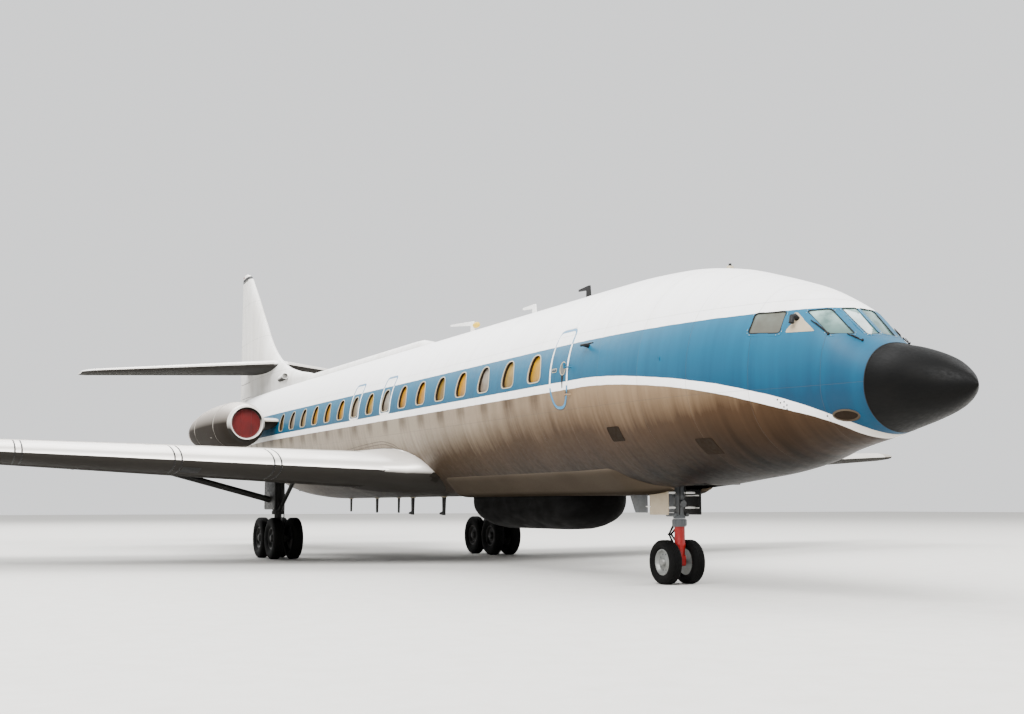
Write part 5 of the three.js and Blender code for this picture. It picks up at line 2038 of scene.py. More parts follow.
@dataclass
class Wing:
    """Both wings with flaps, ailerons, fences, leading edges, root fillets and their rivets."""

    skin: Skin
    paint: Palette
    repeat: Repeat
    foil: Foil = field(
        default_factory=lambda: Foil(
            (
                (0.25, 11.93, 6.276, 0.125), (6.2, 14.45, 4.826, 0.12), (15.9, 18.72, 2.31, 0.11),
                (16.6, 19.2, 1.98, 0.1), (17.0, 19.78, 1.43, 0.075), (17.15, 20.33, 0.76, 0.05),
            ),
            lambda x: 1.79 + (x - 1.6) * math.tan(math.radians(3)),
            0.012,
        )
    )
    hinge_share: float = 0.74
    flap_span: Point2 = (2.95, 10.6)
    aileron_span: Point2 = (10.9, 15.8)
    fence_x: float = 11.9
    fillet_top: tuple[Point2, ...] = (
        (12.97, 1.99), (13.1, 2.09), (13.3, 2.2), (13.61, 2.3), (14.13, 2.36), (15.0, 2.34), (16.6, 2.26),
    )
    joints: tuple[float, ...] = (3.74, 3.86, 5.44, 5.56, 8.14, 8.26, 10.75, 13.3)  # seams across the leading edge

    def points(self, span: Point2) -> list[tuple[Vector, float]]:
        """The two ends of a hinge line."""
        return [self.foil.hinge(x, self.hinge_share) for x in span]

    def build(self) -> None:
        """Builds the port wing's pieces and mirrors them."""
        paint = self.paint
        host = self.foil.solid(1.0, 17.15, 0.75).piece("wing_port_skin", paint.alloy)
        aileron = HingeCut(self.points(self.aileron_span), UP).cut(host, "aileron_port_skin")
        flap = HingeCut(self.points(self.flap_span), UP, 0.004).cut(host, "flap_port_skin")
        for piece, word in ((host, "wing"), (flap, "flap"), (aileron, "aileron")):
            for made, side in ((piece, Side.PORT), (mirror_of(piece, f"{word}_starboard_skin"), Side.STARBOARD)):
                node = f"{word}_{side.word}"
                hand_over(made, Slot.ALLOY, node, body=node if word == "aileron" else AIRFRAME)
        ends = [1.75, *self.joints, 15.9]
        skins = self.edge([(a + 0.014, b - 0.014) for a, b in zip(ends, ends[1:])], 0.0025)
        strips = self.edge([(a - 0.014, a + 0.014) for a in self.joints], 0.0015)
        for drawn, name, finish, crease in (
            (skins, "wing_leading_edge", paint.polished, CREASE), (strips, "wing_edge_sealant", paint.seal, CREASE),
            (self.edge([(5.08, 5.4)], 0.004, (2, 4)), "wing_edge_lens", paint.seal, CREASE),
            (self.fences(), "wing_fence", paint.alloy, CREASE), (self.fillet(), "wing_root_fillet", paint.polished, 50),
            (self.tracks(), "flap_track_fairings", paint.alloy, CREASE),
        ):
            both(drawn, name, finish, Slot.ALLOY, crease=crease)
        for side in Side:
            places = self.root_rivets(side)
            self.repeat.on_places(f"wing_root_rivets_{side.word}", places, 0.009, paint.seal, Slot.ALLOY)

    def edge(self, spans: Sequence[Point2], grow: float, wrap: tuple[int, int] = (-5, 5)) -> Solid:
        """Skin round the leading edge.

        Args:
            spans: where each length starts and ends along the wing.
            grow: height above the wing's skin.
            wrap: first and last point of the section that it covers, counted from the front.

        Returns:
            The solid.
        """
        made = Solid()
        for start, end in spans:
            rings = []
            for x in spread(start, end, 0.6):
                ring = self.foil.ring(x)
                tip = min(range(len(ring)), key=lambda i: ring[i].y)
                front = [ring[(tip + i) % len(ring)] for i in range(wrap[0], wrap[1] + 1)]
                rings.append(self.foil.sleeve(x, front, 0.16, grow, 0.94))
            made.loft(rings)
        return made

    def fences(self) -> Solid:
        """A thin upright plate along the wing, with a rounded front.

        Returns:
            The solid.
        """
        x, z = self.fence_x, self.foil.rise(self.fence_x)
        line = [(17.0, 0.02), (17.03, 0.2), (17.15, 0.33), (17.4, 0.41)]
        line += [(18.6, 0.42), (19.1, 0.36), (19.3, 0.24), (19.3, 0)]
        return Solid().slab([(s, z + up) for s, up in line], x, x + 0.024)

    def tracks(self) -> Solid:
        """Three slim fairings under the flap's tracks.

        Returns:
            The solid.
        """
        made = Solid()
        rows = [(-0.7, 0.004), (-0.5, 0.035), (-0.2, 0.055), (0.1, 0.05), (0.4, 0.02), (0.5, 0.004)]
        for x in (4.3, 6.9, 9.4):
            place, thick = self.foil.hinge(x, self.hinge_share)
            made.spun(place - Vector((0, 0.1, thick + 0.01)), Vector((0, 1, 0.03)), rows, 16)
        return made

    def fillet(self) -> Solid:
        """The fairing between the wing's root and the hull.

        Returns:
            A closed band round the wing.
        """
        rings = [self.foil.ring(2.05, 0.003)]
        for k in range(1, 6):
            x, flare = 2.05 - 0.15 * k, 0.078 * (k / 5) ** 2
            lead, chord, _ = self.foil.row(x)
            middle = self.foil.place(x, lead + chord * 0.4, 0)
            ring = []
            for p in self.foil.ring(x):
                away = Vector((0, (p.y - middle.y) * 0.5, (p.z - middle.z) * 6)).normalized()
                q = p + away * flare + UP * (0.003 if p.z > middle.z else -0.003)
                ring.append(self.skin.beside(q.y + LENGTH / 2, q.z, 1, 0.003) if k == 5 else q)
            rings.append(ring)
        rings.append([self.skin.beside(p.y + LENGTH / 2, p.z, 1, -0.05) for p in rings[-1]])
        rings.append(self.foil.ring(2.0, -0.01))
        return Solid().looped(rings)

    def root_rivets(self, side: Side) -> list[tuple[Vector, Vector]]:
        """Two rows of rivets over the root fillet.

        Args:
            side: the side.

        Returns:
            Places and outward directions.
        """
        curve, count = Monotone(self.fillet_top), 62
        stations = [12.97 + 3.6 * (i / (count - 1)) ** 1.5 for i in range(count)]
        return [self.skin.outward(s, curve(s) + rise, side.value, 0.001) for rise in (0.0, 0.055) for s in stations]


@dataclass
class Tail:
    """Fin, dorsal spine, rudders, tailplane, elevators and the cooling scoop."""

    skin: Skin
    paint: Palette
    fin: Foil = field(
        default_factory=lambda: Foil(
            tuple(
                (z, lead, trail - lead, thick / (trail - lead))
                for z, lead, trail, thick in (
                    (4.33, 22.9, 31.465, 0.36), (4.74, 23.5, 31.465, 0.36), (4.9, 24.6, 31.465, 0.355),
                    (5.13, 25.75, 31.465, 0.345), (5.48, 26.72, 31.465, 0.335), (5.92, 27.5, 31.465, 0.32),
                    (6.9, 28.6, 31.465, 0.27), (8.2, 29.99, 31.465, 0.18), (8.6, 30.48, 31.465, 0.12),
                    (8.72, 30.9, 31.3, 0.05),
                )
            ),
            lambda z: 0.0,
            upright=True,
            smooth_rows=True,
            steps=24,
        )
    )
    plane: Foil = field(
        default_factory=lambda: Foil(
            ((0.0, 26.6, 3.78, 0.095), (5.05, 29.12, 1.56, 0.095), (5.2, 29.27, 1.34, 0.085), (5.3, 29.48, 1.0, 0.07)),
            lambda x: 5.335 - 0.205 * x / 5.3,
        )
    )
    rudders: tuple[tuple[str, float, float, float], ...] = (
        ("rudder_lower", 4.59, 5.07, 2), ("rudder_upper", 5.42, 8.48, 5)
    )
    hinge_low: Point2 = (29.95, 4.56)
    hinge_high: Point2 = (30.62, 8.56)
    elevator_span: Point2 = (0.62, 4.9)
    elevator_share: float = 0.68

    def hinge_station(self, z: float) -> float:
        """Station of the rudders' hinge line at a height."""
        t = (z - self.hinge_low[1]) / (self.hinge_high[1] - self.hinge_low[1])
        return self.hinge_low[0] + (self.hinge_high[0] - self.hinge_low[0]) * t

    def fin_hinge(self, z: float, sampled: float) -> tuple[Vector, float]:
        """A place on the rudders' hinge line and the fin's half thickness at a height.

        Args:
            z: the height.
            sampled: the height at which the fin is measured.

        Returns:
            Both.
        """
        lead, chord, share = self.fin.row(sampled)
        at = (self.hinge_station(sampled) - lead) / chord
        return spot(0, self.hinge_station(z), z), share * chord * half_thickness(at)

    def rudder(self, host: Object, name: str, low: float, high: float, gaps: float) -> None:
        """Cuts a rudder off the fin and hands it over.

        Args:
            host: the fin.
            name: the rudder's node.
            low: its foot's height.
            high: its head's height.
            gaps: the gap at both, in gaps of the hinge.
        """
        points = [self.fin_hinge(z, z) for z in (low + (high - low) * i / 8 for i in range(9))]
        points = [self.fin_hinge(low - 0.5, low), *points, self.fin_hinge(high + 0.5, high)]

        def region(gap: float) -> Solid:
            """The heights that the rudder keeps to."""
            return Solid().box(spot(-0.4, 29.0, low + gap * gaps), spot(0.4, 31.9, high - gap * gaps))

        made = HingeCut(points, PORT, region=region).cut(host, name + "_skin")
        if name == "rudder_lower":
            carve(made, self.skin.length(28.5, LENGTH, 0.006).piece("hull"))
            smooth(made, 30)
        hand_over(made, Slot.SKIN, name, body="rudder")

    def build(self) -> None:
        """Builds the upright and the level surfaces and what they carry."""
        host = self.fin.solid(4.33, 8.72, 0.12).piece("fin_skin", self.paint.white)
        for rudder in self.rudders:
            self.rudder(host, *rudder)
        hand_over(host, Slot.SKIN, "fin")
        self.dorsal()
        level = self.plane.solid(0.0, 5.3, 0.5).piece("tailplane_port_skin", self.paint.white)
        points = [self.plane.hinge(x, self.elevator_share) for x in self.elevator_span]
        elevator = HingeCut(points, UP).cut(level, "elevator_port_skin")
        for made in (level, mirror_of(level, "tailplane_starboard_skin")):
            hand_over(made, Slot.SKIN, "tailplane")
        other = mirror_of(elevator, "elevator_starboard_skin")
        for made, node in ((elevator, "elevator_port"), (other, "elevator_starboard")):
            hand_over(made, Slot.SKIN, node, body=node)
        rings = []
        for x in spread(0.22, 5.04, 0.6):
            lead, chord, _ = self.plane.row(x)
            front = [p for p in self.plane.ring(x) if p.y + LENGTH / 2 < lead + chord * 0.06]
            rings.append(self.plane.sleeve(x, front, 0.06, 0.0025, 0.9))
        both(Solid().loft(rings), "tailplane_leading_edge", self.paint.polished, Slot.ALLOY)

    def dorsal(self) -> None:
        """Builds the spine ahead of the fin, the scoop, the fin cap and the tail lamp."""
        base, half, rings = 4.46, 0.13, []
        for t in (i / 24 for i in range(25)):
            rise = 0.072 + 0.203 * min(1.0, t * 11) ** 0.7
            arc = [math.pi * k / 16 for k in range(17)]
            rings.append([spot(half * math.cos(a), 14.7 + 9.9 * t, base + rise * math.sin(a) ** 0.7) for a in arc])
        dress(Solid().loft(rings), "dorsal_spine", self.paint.white, Slot.SKIN, "fin")
        rows = [(0.16, 0.0), (0.16, 0.074), (0.0, 0.076), (-0.006, 0.083), (0.0, 0.09), (0.1, 0.092), (0.8, 0.092)]
        rows += [(1.0, 0.075), (1.1, 0.05), (1.1, 0)]
        mouth = spot(-0.265, 25.4, 4.835)
        scoop = Solid().spun(mouth, spot(-0.115, 26.5, 4.835) - mouth, rows, 32)
        dress(scoop, "cooling_scoop", self.paint.white, Slot.SKIN, "fin")
        cap = Solid().loft([self.fin.ring(z, 0.0025) for z in (8.49, 8.52, 8.56, 8.6)])
        dress(cap, "fin_cap_strip", self.paint.seal, Slot.SKIN)
        lamp = [(-0.02, 0.0), (-0.02, 0.03), (0.04, 0.035), (0.09, 0.022), (0.11, 0)]
        dress(Solid().spun(spot(0, 31.3, 8.66), AFT, lamp, 16), "tail_lamp", self.paint.red, Slot.RED)


@dataclass
class Nacelles:
    """Both engine nacelles with lips, cowls, covers, nozzles and pylons."""

    paint: Palette
    x: float = 2.45
    z: float = 3.17
    start: float = 21.05
    outside: tuple[Point2, ...] = (
        (0.12, 0.475), (0.45, 0.545), (1.1, 0.6), (2.2, 0.605), (3.3, 0.56), (4.1, 0.495), (4.55, 0.445),
    )
    inside: tuple[Point2, ...] = (
        (4.55, 0.42), (4.1, 0.455), (3.3, 0.5), (1.3, 0.5), (0.9, 0.42), (0.25, 0.362), (0.122, 0.362),
    )
    lip: tuple[Point2, ...] = (
        (0.1195, 0.4748), (0.06, 0.4535), (0.03, 0.438), (0.012, 0.422), (0.003, 0.41), (0.0, 0.4), (0.004, 0.389),
        (0.02, 0.3775), (0.05, 0.3675), (0.09, 0.3625), (0.1195, 0.362), (0.1195, 0.4748),
    )
    stations: tuple[float, ...] = (
        0.12, 0.18, 0.26, 0.35, 0.45, 0.6, 0.8, 1.0, 1.3, 1.7, 2.2, 2.6, 3.0, 3.4, 3.8, 4.1, 4.35, 4.55
    )
    hem: tuple[Point2, ...] = (
        (0.24, 0), (0.24, 0.3595), (0.125, 0.3615), (0.104, 0.3605), (0.096, 0.352), (0.098, 0.338), (0.112, 0.33),
        (0.108, 0.2), (0.104, 0.08), (0.103, 0),
    )
    nozzle: tuple[Point2, ...] = (
        (4.15, 0.448), (4.55, 0.4197), (4.8, 0.392), (5.0, 0.372), (4.998, 0.354), (4.8, 0.374), (4.55, 0.4017),
        (4.15, 0.43), (4.15, 0.448),
    )
    vane_count: int = 26

    def spin(self, rows: Sequence[Point2], sides: int = 72) -> Solid:
        """A turned form about the port nacelle's axis."""
        return Solid().spun(spot(self.x, self.start, self.z), AFT, rows, sides)

    def pylon(self) -> Solid:
        """The pylon, from inside the hull to the cowl.

        Returns:
            The solid.
        """
        foil = Foil(((0.0, 21.4, 3.9, 0.075), (3.0, 21.4, 3.9, 0.075)), lambda x: 3.25, steps=24)
        curve = Monotone(self.outside)
        last = []
        for p in foil.ring(1.7):
            radius = curve(p.y + LENGTH / 2 - self.start)
            last.append(Vector((self.x - math.sqrt(radius**2 - (p.z - self.z) ** 2) + 0.006, p.y, p.z)))
        return Solid().loft([foil.ring(1.1), foil.ring(1.4), foil.ring(1.7), last])

    def cover(self) -> Solid:
        """The intake cover: a stiff disc in canvas with a rolled hem and two straps.

        Returns:
            The solid.
        """
        made = self.spin(self.hem)
        for x in (-0.13, 0.13):
            top = math.sqrt(0.33**2 - x**2)
            made.rod([spot(self.x + x, self.start + 0.104, self.z + top * k / 4) for k in range(-4, 5)], 0.006, 8)
        return made

    def bands(self) -> Solid:
        """Two bands round the cowl and its latches.

        Returns:
            The solid.
        """
        made = Solid()
        for aft in (1.05, 3.35):
            radius = Monotone(self.outside)(aft)
            line = oblong(aft, aft + 0.05, radius - 0.002, radius + 0.004)
            made.join(self.spin([line[0], line[3], line[2], line[1], line[0]]))
        for turn in (math.radians(angle) for angle in range(-150, -29, 30)):
            here = spot(self.x + 0.606 * math.cos(turn), self.start + 1.5, self.z + 0.606 * math.sin(turn))
            made.rod([here, here + AFT * 0.1], 0.012, 8)
        return made

    def vanes(self) -> Solid:
        """The exhaust's guide vanes and their hub.

        Returns:
            The solid.
        """
        flat = ((-0.004, 3.856), (0.004, 3.856), (0.03, 3.888), (0.022, 3.888))
        vane = Solid().loft([[spot(self.x + w, self.start + a, self.z + r) for w, a in flat] for r in (0.1, 0.425)])
        hub, made = spot(self.x, self.start, self.z), Solid()
        for turn in (Matrix.Rotation(angle, 3, "Y") for angle in turns(self.vane_count)):
            made.join(Solid([hub + turn @ (p - hub) for p in vane.points], vane.faces))
        return made.join(self.spin([(3.852, 0), (3.852, 0.11), (3.88, 0.105), (3.888, 0.06), (3.889, 0)], 32))

    def build(self) -> None:
        """Builds both sides."""
        paint, curve = self.paint, Monotone(self.outside)
        rows = [(a, curve(a)) for a in self.stations]
        cowl = self.spin([*rows, *self.inside, rows[0]])
        for drawn, name, finish, slot, node, crease in (
            (self.spin(self.lip), "nacelle_lip", paint.polished, Slot.ALLOY, "nacelle", 60),
            (cowl, "nacelle_cowl", paint.cowl, Slot.ALLOY, "nacelle", CREASE),
            (self.pylon(), "pylon_skin", paint.cowl, Slot.ALLOY, "pylon", 50),
            (self.spin(self.nozzle), "nozzle", paint.burnt, Slot.STEEL, "exhaust_nozzle", 50),
            (self.cover(), "cover", paint.canvas, Slot.COVER, "intake_cover", 50),
            (self.bands(), "cowl_bands", paint.alloy, Slot.ALLOY, "", CREASE),
            (self.vanes(), "exhaust_vanes", paint.burnt, Slot.STEEL, "", CREASE),
        ):
            both(drawn, name, finish, slot, node, crease=crease)


@dataclass
class Belly:
    """The belly fairing and the canoe radome under it."""

    paint: Palette
    start: float = 7.7
    end: float = 12.2
    half: float = 0.54
    top: float = 1.2897
    bottom: float = 0.735
    rings: tuple[tuple[float, float, float], ...] = (
        (0.0, 0.3, 0.15), (0.012, 0.52, 0.36), (0.04, 0.76, 0.62), (0.09, 0.92, 0.84), (0.17, 1.0, 0.97),
        (0.25, 1.0, 1.0),
        (0.78, 1.0, 1.0), (0.9, 0.95, 0.84), (0.97, 0.72, 0.55), (1.0, 0.3, 0.25),
    )

    def canoe(self) -> Solid:
        """The canoe radome.

        Returns:
            The solid.
        """
        at = blended(self.rings)
        marks = [0, 0.004, 0.012, 0.025, 0.04, 0.065, 0.09, 0.13, 0.17]
        marks += [0.3, 0.45, 0.6, 0.78, 0.84, 0.9, 0.94, 0.97, 0.99, 1]
        arc = [math.pi * i / 40 for i in range(41)]
        made = []
        for share in marks:
            wide, deep = at(share)
            half, drop = self.half * wide, (self.top - self.bottom) * deep
            station = self.start + (self.end - self.start) * share
            made.append([spot(half * math.cos(a), station, self.top - drop * math.sin(a) ** 0.6) for a in arc])
        return Solid().loft(made)

    def fairing(self) -> Solid:
        """The fairing: flat underneath, with rounded sides that rise to the hull.

        Returns:
            The solid.
        """
        rows = blended([(5.4, 0.539, 1.35), (6.1, 0.98, 1.29), (12.0, 0.98, 1.29), (12.9, 0.588, 1.35)])
        made = []
        for station in (5.4, 5.5, 5.65, 5.8, 5.95, 6.1, 7, 8, 9, 10, 11, 12, 12.2, 12.4, 12.6, 12.8, 12.9):
            half, bottom = rows(station)
            foot = half * 0.62
            corners = [(-half, 1.7), (half, 1.7), (half, 1.64), (foot, bottom), (-foot, bottom), (-half, 1.64)]
            made.append([spot(x, station, z) for x, z in rounded(corners, 0.12 * half / 0.98)])
        return Solid().loft(made)

    def build(self) -> None:
        """Builds both."""
        made = self.fairing().piece("belly_fairing_skin", self.paint.belly)
        carve(made, Solid().box(spot(-0.3, 4.65, 1.2), spot(0.3, 6.75, 1.745)).piece("bay"))
        hand_over(smooth(made, 30), Slot.ALLOY, "belly_fairing")
        dress(self.canoe(), "canoe_radome", self.paint.canoe, Slot.RADOME, "belly_radome")


@dataclass
class Antennas:
    """Blades and masts on the roof and the belly."""

    paint: Palette
    masts: tuple[tuple[float, float, float, float, float, float, str], ...] = (
        (4.37, 4.35, 4.48, 0.06, 0, 0, "seal"), (8.33, 4.48, 4.79, 0.16, 8.66, 4.77, "seal"),
        (10.31, 4.48, 4.76, 0.16, 10.76, 4.75, "outline_white"), (13.01, 4.48, 4.8, 0.17, 14.1, 4.87, "outline_white"),
        (14.42, 1.35, 0.945, 0.17, 14.64, 0.96, "seal"), (16.15, 1.35, 0.945, 0.17, 16.37, 0.96, "seal"),
        (17.0, 1.35, 0.98, 0.11, 0, 0, "seal"), (18.4, 1.35, 0.98, 0.15, 0, 0, "seal"),
        (20.25, 1.35, 1.0, 0.13, 0, 0, "seal"),
    )
    thick: float = 0.026

    def build(self) -> None:
        """Builds each mast with its arm and foot plate."""
        h = self.thick / 2
        for number, (station, foot, tip, chord, arm_end, arm_z, finish) in enumerate(self.masts):
            away = 1 if tip > foot else -1
            back, front = station + chord * 0.4, station - chord * 0.3
            line = [(station - chord / 2, foot), (station + chord / 2, foot), (back, tip), (front, tip)]
            made = Solid().slab(line, -h, h).piece(f"antenna_{number}", getattr(self.paint, finish))
            if arm_end:
                root = tip - away * chord * 0.45
                arm = [(front, root), (back, root), (arm_end, arm_z - away * 0.035), (arm_end, arm_z)]
                arm.append((station - chord * 0.1, tip + away * 0.002))
                carve(made, Solid().slab(arm, -h, h).piece("arm"), Cut.JOINED)
            hand_over(rounded_edges(made, 0.006), Slot.SKIN)
            base = 4.5 if away > 0 else 1.34
            edge, top = (0.024, 0.03) if number else (-0.1, -0.1)
            rims = ((0.0, -0.06), (0.0, edge), (-0.01, top))
            plate = [
                [spot(math.cos(t) * (0.05 + g), station + math.sin(t) * (chord * 0.75 + g), base + away * rise)
                 for t in turns(20)] for g, rise in rims
            ]
            dress(Solid().loft(plate), f"antenna_foot_{number}", self.paint.trim, Slot.ALLOY)
        blob = [(-0.12, 0), (-0.11, 0.03), (-0.06, 0.055), (0.02, 0.06), (0.08, 0.045), (0.12, 0.0)]
        dress(Solid().spun(spot(0, 12.84, 4.71), AFT, blob, 20), "antenna_end_cap", self.paint.yellow, Slot.SKIN)


@dataclass(frozen=True)
class Tyre:
    """Sizes of a tyre: radius, width and the radius of its rim."""

    radius: float
    width: float
    rim: float

    def rows(self) -> list[Point2]:
        """The tyre's outline with four grooves round its tread.

        Returns:
            Distance from its middle and radius.
        """
        half, wall = self.width / 2, self.radius - self.rim
        left = [
            (-0.62, 0.0), (-0.78, 0.1), (-0.94, 0.3), (-1.0, 0.5), (-0.99, 0.62), (-0.95, 0.74), (-0.86, 0.88),
            (-0.72, 0.96), (-0.56, 0.995), (-0.47, 1.0), (-0.46, 0.955), (-0.40, 0.955), (-0.39, 1.0),
            (-0.18, 1.0), (-0.17, 0.955), (-0.11, 0.955), (-0.10, 1.0),
        ]
        right = [(-a, b) for a, b in reversed(left)]
        line = [(a * half, self.rim + b * wall) for a, b in [*left, *right]]
        return [*line, line[0]]


@dataclass
class Wheels:
    """Builds axles with twin wheels."""

    paint: Palette
    repeat: Repeat
    bolts: int = 10

    def rim(self, tyre: Tyre, centre: Vector, side: float, hub: float) -> Solid:
        """A dished rim with its outside towards side.

        Args:
            tyre: the tyre on it.
            centre: middle of the wheel.
            side: sign of X of its outside.
            hub: radius of the axle.

        Returns:
            The solid.
        """
        half, outer = tyre.width * 0.31, tyre.rim - 0.0005
        rows = [
            (-half, 0), (-half, outer), (half, outer), (half * 1.06, outer - 0.006), (half * 1.04, outer - 0.018),
            (half * 0.6, outer - 0.034), (half * 0.32, outer - 0.05), (half * 0.3, hub * 2.4), (half * 0.5, hub * 1.9),
            (half * 1.05, hub * 1.7), (half * 1.2, hub * 1.4), (half * 1.2, 0),
        ]
        return Solid().spun(centre, Vector((side, 0, 0)), rows, 48)

    def pair(
        self, name: str, body: str, tyre: Tyre, spacing: float, axle: float, centre: Vector, finish: Material
    ) -> None:
        """Builds one axle with its two wheels.

        Args:
            name: the axle's node.
            body: the body that spins.
            tyre: sizes of the tyres.
            spacing: distance between the tyres' middles.
            axle: the axle's radius.
            centre: middle of the axle.
            finish: finish of the rims.
        """
        made = Solid().spun(centre - PORT * spacing / 2, PORT, [(0, 0), (0, axle), (spacing, axle), (spacing, 0)], 32)
        bolts, radius, out = [], tyre.rim * 0.62, tyre.width * 0.31 * 0.33
        for side in reversed(Side):
            middle = centre + PORT * side.value * spacing / 2
            made.join(self.rim(tyre, middle, side.value, axle))
            ring = Solid().spun(middle, PORT, tyre.rows(), 72)
            rubber = f"{name}_rubber_{side.word}"
            dress(ring, rubber, self.paint.rubber, Slot.TYRE, f"{name}_tyre_{side.word}", body=body, crease=50)
            for t in turns(self.bolts):
                seat = Vector((side.value * out, radius * math.cos(t), radius * math.sin(t)))
                bolts.append((middle + seat, PORT * side.value))
        dress(made, f"{name}_rims", finish, Slot.WHEEL, name, body=body, crease=40)
        self.repeat.on_places(f"{name}_bolts", bolts, 0.012, self.paint.grey, Slot.STEEL, body=body)


@dataclass
class NoseGear:
    """Nose leg, steered fork with its torque link, wheels, doors and blank plate."""

    paint: Palette
    wheels: Wheels
    repeat: Repeat
    leg: float = 5.735
    axle_station: float = 5.815
    axle_z: float = 0.32
    door_x: float = 0.282

    def line(self, rows: Sequence[Point2], sides: int = 36) -> Solid:
        """A turned form about the leg's line, from rows of height and radius."""
        return Solid().spun(spot(0, self.leg, 0), Vector((0, 0, 1)), rows, sides)

    def build(self) -> None:
        """Builds the leg, the fork, the wheels and the doors."""
        paint, steered = self.paint, "nose_steering"
        leg = self.line([
            (1.749, 0), (1.749, 0.076), (1.30, 0.076), (1.29, 0.084), (1.25, 0.084), (1.24, 0.076), (0.985, 0.076),
            (0.98, 0.088), (0.946, 0.088), (0.945, 0.058), (1.26, 0.058), (1.26, 0),
        ])
        dress(leg, "nose_leg_strut", paint.grey, Slot.STEEL, "nose_gear_leg", crease=40)
        collar = self.line([(0.94, 0), (0.94, 0.094), (0.925, 0.099), (0.85, 0.099), (0.83, 0.094), (0.83, 0)])
        for turn in range(0, 360, 45):
            a = math.radians(turn + 20)
            collar.rod([spot(0.098 * math.cos(a), self.leg + 0.098 * math.sin(a), z) for z in (0.845, 0.93)], 0.01, 8)
        dress(collar, "nose_steering_collar", paint.grey, Slot.STEEL, body=steered, crease=40)
        piston = self.line([(0.942, 0), (0.942, 0.0565), (1.249, 0.0555), (1.249, 0)])
        dress(piston, "nose_piston", paint.chrome, Slot.STEEL, body=steered)
        sleeve = self.line([
            (0.83, 0), (0.83, 0.076), (0.60, 0.076), (0.585, 0.083), (0.56, 0.083), (0.545, 0.076), (0.44, 0.07),
            (0.38, 0.062), (0.38, 0),
        ])
        low, high, front, rear = self.axle_z - 0.055, self.axle_z + 0.11, self.leg - 0.065, self.axle_station + 0.06
        hub = [(front, low), (rear, low), (rear, self.axle_z + 0.07), (self.leg + 0.06, high), (front, high)]
        sleeve.slab(rounded(hub, 0.045), -0.06, 0.06)
        dress(sleeve, "nose_fork_sleeve", paint.red, Slot.RED, "nose_gear_fork", body=steered, crease=40)
        self.links()
        centre = spot(0, self.axle_station, self.axle_z)
        self.wheels.pair("nose_axle", "nose_wheels", Tyre(0.32, 0.195, 0.19), 0.396, 0.032, centre, paint.rim)
        self.doors()

    def links(self) -> None:
        """Builds the torque link behind the leg, its pins and the steering actuators."""
        leg, dark, fittings, hoses = self.leg, Solid(), Solid(), Solid()
        for x in (-0.045, 0.045):
            elbow = (x * 0.4, leg + 0.25, 0.715)
            dark.rods(((x, leg + 0.055, 0.885), elbow, (0.02, 0.013), 12))
            dark.rods((elbow, (x, leg + 0.055, 0.52), (0.013, 0.02), 12))
        for aft, z, reach in ((0.06, 0.885, 0.06), (0.25, 0.715, 0.035), (0.06, 0.52, 0.06)):
            dark.rods(((-reach, leg + aft, z), (reach, leg + aft, z), 0.016, 12))
        dress(dark, "nose_torque_link", self.paint.seal, Slot.STEEL, body="nose_steering", crease=40)
        for x in (-0.105, 0.105):
            fittings.rods(
                ((x, leg - 0.06, 1.0), (x, leg + 0.16, 1.0), 0.026, 16), ((x * 0.5, leg, 1.0), (x, leg, 1.0), 0.022, 12)
            )
        fittings.rods(
            ((0, leg - 0.07, 1.16), (0, leg - 0.1, 1.16), 0.05, 20),
            ((0, leg - 0.1, 1.16), (0, leg - 0.12, 1.16), (0.056, 0.05), 20),
        )
        dress(fittings, "nose_steering_actuators", self.paint.grey, Slot.STEEL, crease=40)
        for x, depth in ((-0.05, 0.0225), (0.04, 0.02125)):
            waves = [leg - 0.078 - depth * math.sin(k / 9 * math.pi) for k in range(10)]
            hoses.rod([spot(x, station, 1.7 - 0.7 * k / 9) for k, station in enumerate(waves)], 0.008, 8)
        dress(hoses, "nose_leg_hoses", self.paint.seal, Slot.STEEL)

    def doors(self) -> None:
        """Builds the doors on both sides with their bars, arms and stiffeners; one is the blank plate, and the port one
        is near-black as painted shade.
        """
        x0, x1, paint = self.door_x - 0.009, self.door_x + 0.009, self.paint
        plate = Solid().slab(rounded(oblong(5.59, 6.08, 1.0, 1.37), 0.02, 3), x0, x1)
        panel = Solid().slab(rounded([(6.15, 1.03), (6.48, 1.03), (6.65, 1.33), (6.15, 1.33)], 0.02, 3), x0, x1)
        bars = Solid().rods(*[((self.door_x, 6.05, z), (self.door_x, 6.18, z), 0.011, 12) for z in (1.12, 1.305)])
        bars.rods(*[((0.07, self.leg, z), (self.door_x - 0.005, self.leg, z), 0.016, 14) for z in (1.105, 1.32)])
        bars.rods(*[((x0 - 0.006, 5.62, z), (x0 - 0.006, 6.05, z), 0.008, 8) for z in (1.1, 1.28)])
        places = [*oblong(5.62, 6.05, 1.03, 1.34), (5.83, 1.03), (5.83, 1.34), (6.2, 1.06), (6.2, 1.3), (6.4, 1.3)]
        # The port door is near-black as painted shade, since its inside faces away from the light; the starboard one is
        # the beige blank plate.
        for side, finish in zip(Side, (paint.seal, paint.plate)):
            node = f"nose_gear_door_{side.word}"
            dress(side.turn(plate), f"nose_plate_{side.word}", finish, Slot.SKIN, node, edge=0.003)
            screws = [(spot(side.value * (x1 - 0.001), s, z), PORT * side.value) for s, z in places]
            self.repeat.on_places(f"nose_plate_screws_{side.word}", screws, 0.006, paint.grey, Slot.STEEL)
        both(panel, "nose_rear_panel", paint.grey, Slot.ALLOY, edge=0.003)
        both(bars, "nose_door_bars", paint.outline_white, Slot.STEEL)


